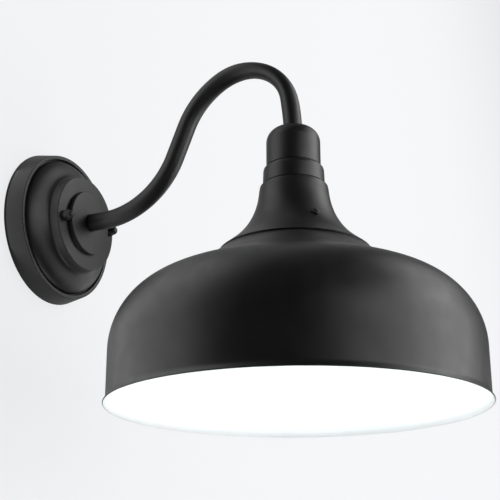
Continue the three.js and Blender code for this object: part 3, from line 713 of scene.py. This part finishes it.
def bracket_plate():
    outlines = [long_slot(0, 42, 12, 32)]
    for side in (-1, 1):
        outlines.append(long_slot(side * BOX_SCREW_CIRCLE, 4.5, 2.4))
        outlines.append(circle(side * STUD_CIRCLE, STUD_HOLE, 32))
    outlines.append(circle(GROUND_SCREW_ALONG, 2.3, 32))
    return to_bracket(plate("bracket_plate", outlines, 0, 2.2, 0.3))


def build_wall_pieces():
    finish_piece(canopy_piece(), "black_paint", "canopy")
    gasket = to_wall_axis(turned("foam_ring", ring_profile(62.2, 68.0, 0, 3, 0.7), 192))
    finish_piece(gasket, "foam_rubber", "wall_gasket")
    finish_piece(bracket_plate(), "zinc_steel", "wall_bracket")
    ground_screw = slotted_screw("ground_screw_head", 4.2, 2.2, 2.0, 4.3, 1.0)
    to_bracket(ground_screw, GROUND_SCREW_ALONG, 4.6)
    finish_piece(ground_screw, "green_plate", "ground_screw")
    for name, side in (("left", -1), ("right", 1)):
        along = side * STUD_CIRCLE
        rod = to_bracket(stud(f"threaded_stud_{name}"), along)
        finish_piece(rod, "zinc_steel", f"mounting_stud_{name}")
        lock = to_bracket(hex_nut(f"thin_locknut_{name}", NUT_FLATS, STUD_HOLE, 2.5, 5.7), along)
        finish_piece(lock, "zinc_steel", f"stud_locknut_{name}")
        washer = turned(f"sealing_washer_{name}", ring_profile(STUD_HOLE, 4.9, 38.3, 39.1, 0.25), 64)
        to_bracket(washer, along)
        finish_piece(washer, "black_rubber", f"cap_washer_{name}", body=f"{name}_nut_washer")
        nut = to_bracket(cap_nut(f"domed_cap_nut_{name}"), along)
        finish_piece(nut, "black_paint", f"cap_nut_{name}", body=f"{name}_cap_nut")


# ---- arm


def arm_route(step=1.2):
    """Points (out, height) along the arm's middle line, and how far each is past the tight bend's middle."""
    points, place, angle = [], np.array((ARM_START_OUT, 0.0)), 0.0
    travelled, tight = 0.0, 0.0
    tightest = min(bend[1] for bend in ARM_BENDS if bend[0] == "bend")

    def straight(length):
        nonlocal place, travelled
        count = max(2, round(length / step))
        for k in range(count):
            points.append((place + heading(angle) * length * k / count, travelled + length * k / count))
        place = place + heading(angle) * length
        travelled += length

    straight(ARM_STRAIGHT_OUT - ARM_START_OUT)
    for kind, size, *target in ARM_BENDS:
        if kind == "straight":
            straight(size)
            continue
        turn = copysign(1, target[0] - angle)
        centre = place + heading(angle + 90 * turn) * size
        sweep_angle = abs(target[0] - angle)
        length = radians(sweep_angle) * size
        if size == tightest:
            tight = travelled + length / 2
        count = round(length / step)
        for k in range(count):
            at = angle + turn * sweep_angle * k / count
            points.append((centre - heading(at + 90 * turn) * size, travelled + length * k / count))
        place = centre - heading(target[0] + 90 * turn) * size
        angle = target[0]
        travelled += length
    straight(place[1] - ARM_END_HEIGHT)
    points.append((place, travelled))
    return [p for p, _ in points], [s - tight for _, s in points]


ROUTE, FROM_TIGHT_BEND = arm_route()


def along_arm(sideways=0.0, every=1):
    return [(sideways, -out, height) for out, height in ROUTE[::every]]


def arm_radii():
    """The tube is a little flattened in its tight bend, as a bent tube is, and a little swollen before it."""
    flat_middle, flat_reach = 9, 33
    swell_middle, swell_reach = -60, 105
    radii = []
    for s in FROM_TIGHT_BEND:
        flat = exp(-(((s - flat_middle) / flat_reach) ** 4))
        swell = exp(-(((s - swell_middle) / swell_reach) ** 6))
        radius = ARM_RADIUS + 0.25 * swell
        radii.append((radius * (1 - 0.16 * flat), radius * (1 + 0.04 * flat)))
    return radii


def star_washer(name, inner, outer, low, high, teeth):
    """A lock washer with teeth on its inner side."""
    tooth_depth, steps = 1.3, 8
    hole = []
    for k in range(teeth * steps):
        in_gap = k % steps in (3, 4, 5, 6)
        hole.append((inner + tooth_depth * in_gap) * heading(k * 360 / (teeth * steps)))
    return plate(name, [circle(0, outer, 96), hole], low, high, 0.12)


def bushing(name):
    """A flanged bushing that lines the end of the arm."""
    bore, fit, flange = 5.0, 6.4, 7.8
    profile = [
        (bore, -1.5, 0.6), (flange, -1.5, 0.5), (flange, -0.3, 0.2),
        (fit, -0.3, 0.1), (fit, 5, 0.4), (bore, 5, 0.5),
    ]
    return turned(name, rounded(profile), 96)


def ground_terminal_piece():
    """A ring terminal with a crimped barrel for the ground lead."""
    ring_radius, tongue_end, tongue_half = 12, 17, 2.5
    ring_angle = degrees(asin(tongue_half / ring_radius))
    outline = arc((0, 0), ring_radius, ring_angle, 360 - ring_angle, 59)
    outline += [(tongue_end, -tongue_half), (tongue_end, tongue_half)]
    flat = plate("ring_terminal", [outline, circle(0, ARM_HOLE, 64)], 35.5, 36.5, 0.2)
    barrel = turned("cutter", ring_profile(0.95, 1.75, -2.6, 2.6, 0.15), 32)
    transform(barrel, shift(15.4, 0, 34.75) @ spin(90, "Y"))
    return to_wall_axis(combine(flat, barrel, "UNION"))


def build_arm():
    tube = sweep("bent_arm_tube", along_arm(), arm_radii(), 64, ARM_WALL)
    finish_piece(tube, "black_paint", "gooseneck_arm")
    disc = rounded(
        [(ARM_HOLE, BOSS_OUT + GAP, 0), (FLANGE_RADIUS + 0.5, BOSS_OUT + GAP, 0.4),
         (FLANGE_RADIUS, BOSS_OUT + 1.4, 0.5), (FLANGE_RADIUS, FLANGE_OUT, 1.3),
         (ARM_RADIUS + 1.4, FLANGE_OUT, 0.5), (ARM_HOLE, FLANGE_OUT, 0)],
        steps=7,
    )
    flange = to_wall_axis(turned("flange_disc", disc, 192))
    finish_piece(flange, "black_paint", "arm_flange")
    washer = to_wall_axis(star_washer("arm_star_washer", ARM_HOLE, 11.8, 34.2, 35.2, 12))
    finish_piece(washer, "zinc_steel", "arm_lock_washer")
    nut = to_wall_axis(hex_nut("arm_hex_nut", 24, ARM_HOLE, 29.2, 33.9))
    finish_piece(nut, "zinc_steel", "arm_locknut")
    finish_piece(ground_terminal_piece(), "copper", "ground_terminal")
    inner = transform(bushing("nylon_bushing_wall"), shift(z=ARM_START_OUT))
    finish_piece(to_wall_axis(inner), "nylon", "arm_bushing_wall")
    lower = transform(bushing("nylon_bushing_neck"), shift(z=ARM_END_HEIGHT))
    finish_piece(to_lamp_axis(lower), "nylon", "arm_bushing_neck")


# ---- neck and shade


def skirt(count):
    """The bell's flared skirt, from under its lower ring to the seam."""
    return bezier(SKIRT_TOP, -86.7, 36.4, SEAM, -SEAM_ANGLE, 10.5, count)


def near_seam(past, depth):
    """A point a distance past the seam down the skirt's slope, and a depth under its surface."""
    return np.array(SEAM) + heading(-SEAM_ANGLE) * past - heading(90 - SEAM_ANGLE) * depth


def neck_piece():
    """The cast bell: a domed top, two stepped rings and a flared skirt."""
    outer_skirt = skirt(48)
    lip = offset(outer_skirt, NECK_WALL)[::-1]
    shoulder_middle = (NECK_RADIUS - NECK_SHOULDER, NECK_SHOULDER_HEIGHT)
    top_height = NECK_SHOULDER_HEIGHT + NECK_SHOULDER
    top = [
        (ARM_HOLE, top_height - 0.3), (ARM_RADIUS + 0.6, top_height),
        *arc(shoulder_middle, NECK_SHOULDER, 84, 0, 18),
    ]
    steps = rounded(
        [(NECK_RADIUS, NECK_SHOULDER_HEIGHT, 0), (NECK_RADIUS, 16.4, 0.1), (22.3, 16.1, 0.15),
         (22.4, 15.5, 0.15), (23.3, 15.3, 0.1), (25.1, 14.1, 0.7), (25.5, 12.4, 0.8), (26.0, -0.1, 0.1),
         (25.4, -0.5, 0.15), (25.5, -1.1, 0.15), (26.5, -1.3, 0.1), (28.4, -2.4, 0.7), (*outer_skirt[1], 0)],
        False, 5,
    )
    bore = NECK_RADIUS - NECK_WALL
    inner = rounded(
        [(26.9, -5.9, 0), (23.5, -2.9, 1), (23.0, 11.7, 1), (bore, 14.7, 1), (bore, NECK_SHOULDER_HEIGHT, 0)],
        False,
    )
    ceiling = arc(shoulder_middle, NECK_SHOULDER - NECK_WALL, 0, 71, 10)
    outside = [*top, *steps[1:-1], *outer_skirt[1:]]
    inside = [*lip[:-3], *inner, *ceiling[1:], (ARM_HOLE, NECK_CEILING)]
    return lamp_turned("cast_bell", [*outside, *inside], 224)


def shade_profiles():
    """The shade's outside line from the seam to the rim, and the line under the bell."""
    crease, crease_angle = (105, -86.9), -14.4
    side_top, side_end = (148.1, -145.1), (147.9, -180.6)
    collar = bezier(near_seam(SEAM_WIDTH, SEAM_STEP), -SEAM_ANGLE, 10.4, crease, crease_angle, 14.5, 26)
    shoulder = bezier(crease, crease_angle, 24.3, side_top, -90, 29.3, 52)
    side = [np.array(side_top) + (np.array(side_end) - side_top) * t for t in np.linspace(0, 1, 10)]
    edge = rim_edge()
    lip = bezier(side_end, -90, 2.2, edge[0], -RIM_ANGLE, 2.0, 8)
    collar_top = -31
    hidden = [p for p in offset(skirt(48), UNDER_BELL) if p[1] < collar_top]
    return [*collar, *shoulder[1:], *side[1:], *lip[1:]], hidden


def rim_edge():
    """The rounded edge of the rim's lip, from its outside round to its inside."""
    radius = SHEET / 2
    return arc((RIM_RADIUS - radius, RIM_HEIGHT + radius), radius, 90 - RIM_ANGLE, -90 - RIM_ANGLE, 12)


def shade_pieces():
    """The black shell, and the enamel as a thin skin of its own on the shell's inner side."""
    outside, hidden = shade_profiles()
    edge = rim_edge()
    black_edge = edge[1:8]
    enamel_edge = edge[8:]
    metal = SHEET - ENAMEL_SKIN
    inside = offset(outside, metal)[1:-1]
    under = offset(hidden, metal)[:-1]
    joggle = near_seam(SEAM_WIDTH, UNDER_BELL)
    shell = [*hidden[:-1], joggle, *outside, *black_edge, *inside[::-1], *under[::-1]]
    black = lamp_turned("spun_shade", shell, 256)
    enamel_top = [*offset(hidden, metal + 0.01)[:-1], *offset(outside, metal + 0.01)[1:-1]]
    enamel_under = [*offset(hidden, SHEET + 0.02)[:-1], *offset(outside, SHEET)[1:-1]]
    white = lamp_turned("enamel_lining", [*enamel_top, *enamel_edge, *enamel_under[::-1]], 256)
    return black, white


def to_bell_screw(piece, azimuth):
    """Moves a screw drawn about +Z to its place on the skirt, square to the surface."""
    points = skirt(120)
    index = next(i for i, p in enumerate(points) if p[1] < BELL_SCREW_HEIGHT)
    radius, height = points[index]
    along = points[index + 1] - points[index - 1]
    lean = degrees(atan2(along[0], -along[1]))
    transform(piece, spin(azimuth, "Z") @ shift(radius, 0, height) @ spin(90 - lean, "Y"))
    return to_lamp_axis(piece)


def build_neck_and_shade():
    finish_piece(neck_piece(), "black_paint", "neck_bell")
    black, white = shade_pieces()
    finish_piece(black, "black_paint", "shade")
    finish_piece(white, "white_enamel")
    seal = [near_seam(past, depth) for past, depth in ((0.3, 1.95), (0.6, 1.95), (0.6, 1.4), (0.3, 1.4))]
    finish_piece(lamp_turned("seam_seal", seal, 192), "black_rubber", "shade_gasket")
    for number, azimuth in enumerate(BELL_SCREW_AZIMUTHS, 1):
        screw = slotted_screw(f"shade_screw_{number}", 3.0, 1.7, 1.7, 9, 0.8)
        transform(screw, shift(z=GAP) @ spin(35 * number, "Z"))
        to_bell_screw(screw, azimuth)
        finish_piece(screw, "black_paint", f"bell_screw_{number}")
    washer = star_washer("neck_star_washer", ARM_HOLE, 12.4, 46.35, 47.15, 12)
    finish_piece(to_lamp_axis(washer), "zinc_steel", "neck_lock_washer")
    nut = hex_nut("neck_hex_nut", 23, ARM_HOLE, 42.7, 45.95)
    finish_piece(to_lamp_axis(nut), "zinc_steel", "neck_locknut")


# ---- lampholder and bulb


def strap_piece():
    """A bent steel strap that hangs the lampholder from the neck's nut."""
    half, thick, low, disc_radius = 15.3, 1.4, 20.0, 13.4
    inner, base = half - thick, STRAP_TOP - thick
    outline = rounded(
        [(-half, low, 0), (-half, STRAP_TOP, 3.2), (half, STRAP_TOP, 3.2), (half, low, 0),
         (inner, low, 0), (inner, base, 1.9), (-inner, base, 1.9), (-inner, low, 0)],
    )
    strap = plate("hanging_strap", [outline], -5, 5, 0.2)
    transform(strap, spin(90, "X"))
    corners = [(0, base, 0), (disc_radius, base, 0.2), (disc_radius, STRAP_TOP, 0.2), (0, STRAP_TOP, 0)]
    disc = rounded(corners, False)
    combine(strap, turned("cutter", disc, 96), "UNION")
    bore = turned("cutter", [(0, 40), (8.3, 40), (8.3, 60), (0, 60)], 96)
    return to_lamp_axis(combine(strap, bore, "DIFFERENCE"))


def porcelain_piece():
    corners = [
        (0, 34.4, 0), (12.4, 34.4, 1.2), (13.2, 32.5, 1.2), (13.2, 10, 2.0), (19.2, 6.6, 2.4),
        (19.2, SOCKET_MOUTH, 1.2), (15.4, SOCKET_MOUTH, 0.6), (15.1, SOCKET_MOUTH + 1, 0.6),
        (15.1, SOCKET_CEILING, 0.6), (0, SOCKET_CEILING, 0),
    ]
    return lamp_turned("porcelain_holder", rounded(corners, False, 6), 144)


def screw_shell(name, outer, wall, low, high, closed_top):
    """A thin threaded shell between two heights. closed_top is the inner radius of its turned-in top."""
    steps = int((high - low) / BULB_PITCH * 14)
    out_side = [(outer, z) for z in np.linspace(low, high - 1.4, steps)]
    in_side = [(outer - wall, z) for z in np.linspace(high - 1.6, low, steps)]
    shoulder = [(outer - 0.35, high - 0.5), (outer - 1.1, high), (closed_top, high)]
    under = [(closed_top, high - wall), (outer - 1.3, high - wall), (outer - 0.35 - wall, high - 0.9)]
    shape = thread(outer, 0.75, BULB_PITCH, low + 1.2, high - 1.8, 2.2, sheet=1.3)
    return turned(name, [*out_side, *shoulder, *under, *in_side], 96, shape, sharp=60)


def contact_leaf():
    """A leaf of springy brass, riveted at one end and bowed under the middle of the socket."""
    top = SOCKET_CEILING - GAP
    upper = bezier((-4.0, top), 0, 1.2, (2.4, 3.35), -10, 1.6, 10)
    lower = bezier((2.0, 2.85), 175, 1.6, (-4.4, top - 0.6), 170, 1.0, 10)
    outline = [(-7.5, top), *upper, *lower, (-7.5, top - 0.6)]
    leaf = plate("contact_leaf", [outline], -2.5, 2.5, 0.12)
    return to_lamp_axis(transform(leaf, spin(90, "X")))


def side_screw(name, seat, height, azimuth, head_radius, head_height, shank_length):
    """A screw whose head faces away from the lamp's axis."""
    screw = slotted_screw(name, head_radius, head_height, 1.6, shank_length, 0.8)
    return to_lamp_axis(transform(screw, spin(azimuth, "Z") @ shift(seat, 0, height) @ spin(90, "Y")))


def build_lampholder():
    finish_piece(strap_piece(), "zinc_steel", "lampholder_strap")
    finish_piece(porcelain_piece(), "porcelain", "lampholder_body")
    shell = screw_shell("socket_screw_shell", 14.5, 0.6, SOCKET_MOUTH + 1.5, SOCKET_CEILING - GAP, 8.5)
    finish_piece(to_lamp_axis(shell), "nickel_plate", "lampholder_shell")
    finish_piece(contact_leaf(), "brass", "lampholder_contact")
    for number, azimuth in ((1, 0), (2, 180)):
        screw = side_screw(f"strap_fixing_screw_{number}", 15.6, 25, azimuth, 3.2, 1.6, 8)
        finish_piece(screw, "zinc_steel", f"strap_screw_{number}")
    for pole, azimuth, slot in (("live", 90, "brass"), ("neutral", -90, "nickel_plate")):
        screw = side_screw(f"wire_screw_{pole}", 13.5, 22, azimuth, 3.3, 1.6, 5.2)
        finish_piece(screw, slot, f"terminal_screw_{pole}")


def build_bulb():
    tip = rounded([(0, 0.6, 0), (4.6, 0.6, 0.2), (4.6, 1.3, 0.5), (2.6, 2.4, 1.2), (0, 2.4, 0)], False, 6)
    finish_piece(lamp_turned("contact_button", tip, 64), "nickel_plate", "bulb_tip", body="bulb_contact")
    glass = rounded(
        [(0, -2.2, 0), (11.6, -2.2, 0.2), (11.2, -1.5, 0.4), (6.2, -0.5, 1.2), (5.2, 0.3, 0.3), (0, 0.3, 0)],
        False, 6,
    )
    finish_piece(lamp_turned("base_glass", glass, 96), "black_glass", "bulb_insulator", body="bulb")
    base = screw_shell("bulb_screw_shell", 12.9, 0.5, -24.5, -2.5, 7)
    finish_piece(to_lamp_axis(base), "nickel_plate", "bulb_base_shell", body="bulb")
    outside = bezier((13.5, -25.2), -70, 9, (29.2, -64.2), -62, 14, 30)
    inside = offset(outside, 1.5)
    housing = [
        (10.5, -12), (12.1, -12), (12.1, -24.8), (13.3, -24.8), *outside, (29.4, -65.3), (29.2, -66),
        (27.9, -66), (27.6, -64.5), *inside[::-1][2:-1], (10.5, -27),
    ]
    finish_piece(lamp_turned("bulb_body", housing, 160), "white_plastic", "bulb_housing", body="bulb")
    board = rounded([(0, -65.8, 0), (26.2, -65.8, 0.2), (26.2, -64.2, 0.2), (0, -64.2, 0)], False, 3)
    finish_piece(lamp_turned("led_board", board, 96), "white_board", "bulb_led_board", body="bulb")
    globe_middle, globe_radius, globe_wall, mouth_angle = (0, -77.5), 30, 1.2, 22.5
    outer = arc(globe_middle, globe_radius, mouth_angle, -90, 40)
    inner = arc(globe_middle, globe_radius - globe_wall, -90, mouth_angle, 40)
    outer[-1][0] = 0
    inner[0][0] = 0
    globe = turned("frosted_bulb_globe", [*inner, *outer], 160)
    finish_piece(to_lamp_axis(globe), "frosted_globe", "bulb_globe", body="bulb")


# ---- leads inside the canopy, arm and neck


CONNECTOR_ALONG = 18.0  # each twist-on connector, from the canopy's middle
CONNECTOR_OUT = 12.0


def lead_route(side):
    """From the wire connector, in through the arm, and out in the neck to the terminal screw."""
    along, back = side * CONNECTOR_ALONG, -CONNECTOR_OUT
    start = [(along, back, -30), (along, back, -22), (side * 13, -13, -10), (side * 5, -18, -2)]
    middle = along_arm(side * 1.6, 9)
    facing = 1 if side < 0 else -1
    end = [
        (side * 1.4, -LAMP_OUT + facing * 3.5, 38.6), (side * 0.7, -LAMP_OUT + facing * 11, 37.0),
        (0, -LAMP_OUT + facing * 15.6, 33.5), (0, -LAMP_OUT + facing * 15.1, 25.8),
    ]
    return smooth_line([*start, *middle, *end], 5)


def ground_route():
    """From the ring terminal's barrel round to the ground screw."""
    screw_x, screw_z = GROUND_SCREW_ALONG * heading(STUD_TURN)
    tail, under_head = -35.5, -3.4
    return smooth_line(
        [(15.5, tail + 1.1, 0), (21, tail + 4, 2), (31, -22, 10), (30, -9, 13),
         (screw_x + 6, under_head - 1.6, screw_z + 10), (screw_x + 2.2, under_head, screw_z + 4.5),
         (screw_x + 0.6, under_head, screw_z + 3.4)],
        8,
    )


def twist_connector(name):
    """A twist-on connector: a ribbed cone that opens where the leads go in."""
    profile = rounded(
        [(0, -26, 0), (3.6, -26, 0.8), (4.4, -24.5, 0.6), (6.0, -5, 0.6), (6.6, -4, 0.5), (6.6, 0, 0.5),
         (4.4, 0, 0.4), (2.6, -14, 0.4), (0, -14, 0)],
        False, 4,
    )
    dense = []
    for a, b in zip(profile, profile[1:]):
        count = max(1, round(float(np.linalg.norm(b - a)) / 1.5))
        dense += [a + (b - a) * k / count for k in range(count)]
    dense.append(profile[-1])

    def ribs(r, z, a):
        on_cone = (z < -5.5) & (z > -24) & (r > 4.2)
        return r - np.where(on_cone, 0.4 * (0.5 - 0.5 * np.cos(18 * a)), 0)

    return turned(name, dense, 144, ribs)


def build_leads():
    for name, side, slot in (("live", -1, "black_insulation"), ("neutral", 1, "white_insulation")):
        route = lead_route(side)
        lead = sweep(f"{name}_wire", route, [(1.1, 1.1)] * len(route), 20)
        finish_piece(lead, slot, f"{name}_lead")
        cap = twist_connector(f"twist_connector_{name}")
        transform(cap, shift(side * CONNECTOR_ALONG, -CONNECTOR_OUT, -20))
        finish_piece(cap, "orange_plastic", f"wire_connector_{name}")
    route = ground_route()
    wire = sweep("bare_ground_wire", route, [(0.8, 0.8)] * len(route), 20)
    finish_piece(wire, "copper", "ground_lead")


build_wall_pieces()
build_arm()
build_neck_and_shade()
build_lampholder()
build_bulb()
build_leads()


# ---- camera, stage and light

CAMERA_PLACE = Vector((-0.711587, -0.545578, -0.326075))
CAMERA_AZIMUTH = -1.124105  # in radians, as is the angle that it looks up
CAMERA_LOOK_UP = 0.335796
CAMERA_LENS = 72.0

STAGE_COLOUR = (0.12, 0.12, 0.121)
WALL_GLOW = 0.35
WALL_SEEN_GLOW = 0.78
FLOOR_GLOW = 0.05
FLOOR_SEEN_GLOW = 0.6
WORLD_LIGHT = 0.02

# Each panel's name, place, the point it faces, width, height and power, in metres and watts.
PANELS = [
    ("panel_right", (1.05, -2.0, 0.0), (1.05, 0, 0.0), 2.1, 3.0, 67),
    ("panel_right_near", (-0.75, -2.0, 0.45), (-0.75, 0, 0.45), 1.5, 1.1, 10.5),
    ("panel_top_right", (1.3, -1.5, 1.7), (0, -0.25, -0.05), 1.4, 1.2, 12),
    ("panel_end", (2.6, -0.75, -0.55), (0, -0.3, -0.1), 1.4, 1.6, 10),
    ("panel_below", (0, -0.3, -0.75), (0, -0.245, 0), 0.6, 0.6, 1.4),
    ("panel_wall_side", (-0.26, -0.002, -0.1), (-0.26, -1, -0.1), 0.4, 1.4, 1.8),
]


def add_camera():
    data = bpy.data.cameras.new("camera")
    data.lens = CAMERA_LENS
    data.sensor_width = 36.0
    data.clip_start = 0.01
    data.clip_end = 50
    camera = add_object("camera", data)
    level = cos(CAMERA_LOOK_UP)
    back = Vector(
        (sin(CAMERA_AZIMUTH) * level, -cos(CAMERA_AZIMUTH) * level, -sin(CAMERA_LOOK_UP))
    )
    camera.location = CAMERA_PLACE
    camera.rotation_euler = (-back).to_track_quat("-Z", "Y").to_euler()
    bpy.context.scene.camera = camera


def mix_shaders(tree, factor, first, second, output):
    """Sends first to the output where factor is 0, and second where it is 1."""
    mix = tree.nodes.new("ShaderNodeMixShader")
    for source, socket in ((factor, 0), (first, 1), (second, 2)):
        tree.links.new(source, mix.inputs[socket])
    tree.links.new(mix.outputs["Shader"], tree.nodes[output].inputs["Surface"])


def stage_material(name, glow, seen_glow):
    """A pale matt surface with a glow of its own, stronger where the camera looks straight at it.
    It shows only its front, so that it never hides the lantern."""
    look = Look(name, STAGE_COLOUR, 0.9, Specular_IOR_Level=0.1, Emission_Color=(0.975, 0.985, 1.0, 1))
    seen = look.node("LightPath").outputs["Is Camera Ray"]
    strength = look.node("MapRange")
    set_sockets(strength, To_Min=glow, To_Max=seen_glow)
    look.join(seen, strength.inputs["Value"])
    look.join(strength.outputs["Result"], look.shader.inputs["Emission Strength"])
    clear = look.node("BsdfTransparent").outputs["BSDF"]
    behind = look.node("NewGeometry").outputs["Backfacing"]
    mix_shaders(look.tree, behind, look.shader.outputs["BSDF"], clear, "Material Output")
    return look.material


def add_stage():
    """A wall with a round opening behind the canopy, as over an electrical box, and a floor far below."""
    left, reach, opening, count, floor_level = -400, 6000, 60, 64, -900
    turns = np.arange(count) * tau / count
    inner = [(opening * cos(t), 0.5, opening * sin(t)) for t in turns]
    outer = []
    for t in turns:
        stretch = reach / max(abs(cos(t)), abs(sin(t)))
        outer.append((max(left, stretch * cos(t)), 0.5, stretch * sin(t)))
    faces = [(k, count + k, count + (k + 1) % count, (k + 1) % count) for k in range(count)]
    corners = [(-reach, -reach), (reach, -reach), (reach, reach), (-reach, reach)]
    floor = [(x, y, floor_level) for x, y in corners]
    for name, points, shapes, glow, seen_glow in (
        ("stage_wall", inner + outer, faces, WALL_GLOW, WALL_SEEN_GLOW),
        ("stage_floor", floor, [(0, 1, 2, 3)], FLOOR_GLOW, FLOOR_SEEN_GLOW),
    ):
        mesh = bpy.data.meshes.new(name)
        mesh.from_pydata([tuple(c * MM for c in p) for p in points], [], shapes)
        mesh.materials.append(stage_material(name, glow, seen_glow))
        add_object(name, mesh)


def add_panel(name, place, target, width, height, power):
    """A soft rectangular light that the camera doesn't see."""
    data = bpy.data.lights.new(name, "AREA")
    data.shape = "RECTANGLE"
    data.size = width
    data.size_y = height
    data.energy = power
    lamp = add_object(name, data)
    lamp.location = place
    lamp.rotation_euler = (Vector(target) - Vector(place)).to_track_quat("-Z", "Y").to_euler()
    lamp.visible_camera = False


def add_world():
    """Dim light from all round, and a pale backdrop wherever the camera looks past the wall."""
    world = bpy.data.worlds.new("studio")
    world.use_nodes = True
    tree = world.node_tree
    dim = tree.nodes["Background"]
    set_sockets(dim, Color=(0.93, 0.94, 0.96, 1), Strength=WORLD_LIGHT)
    pale = tree.nodes.new("ShaderNodeBackground")
    set_sockets(pale, Color=(0.88, 0.885, 0.9, 1))
    seen = tree.nodes.new("ShaderNodeLightPath").outputs["Is Camera Ray"]
    mix_shaders(tree, seen, dim.outputs["Background"], pale.outputs["Background"], "World Output")
    bpy.context.scene.world = world


add_camera()
add_stage()
add_world()
for panel in PANELS:
    add_panel(*panel)
bpy.context.scene.view_settings.view_transform = "Standard"
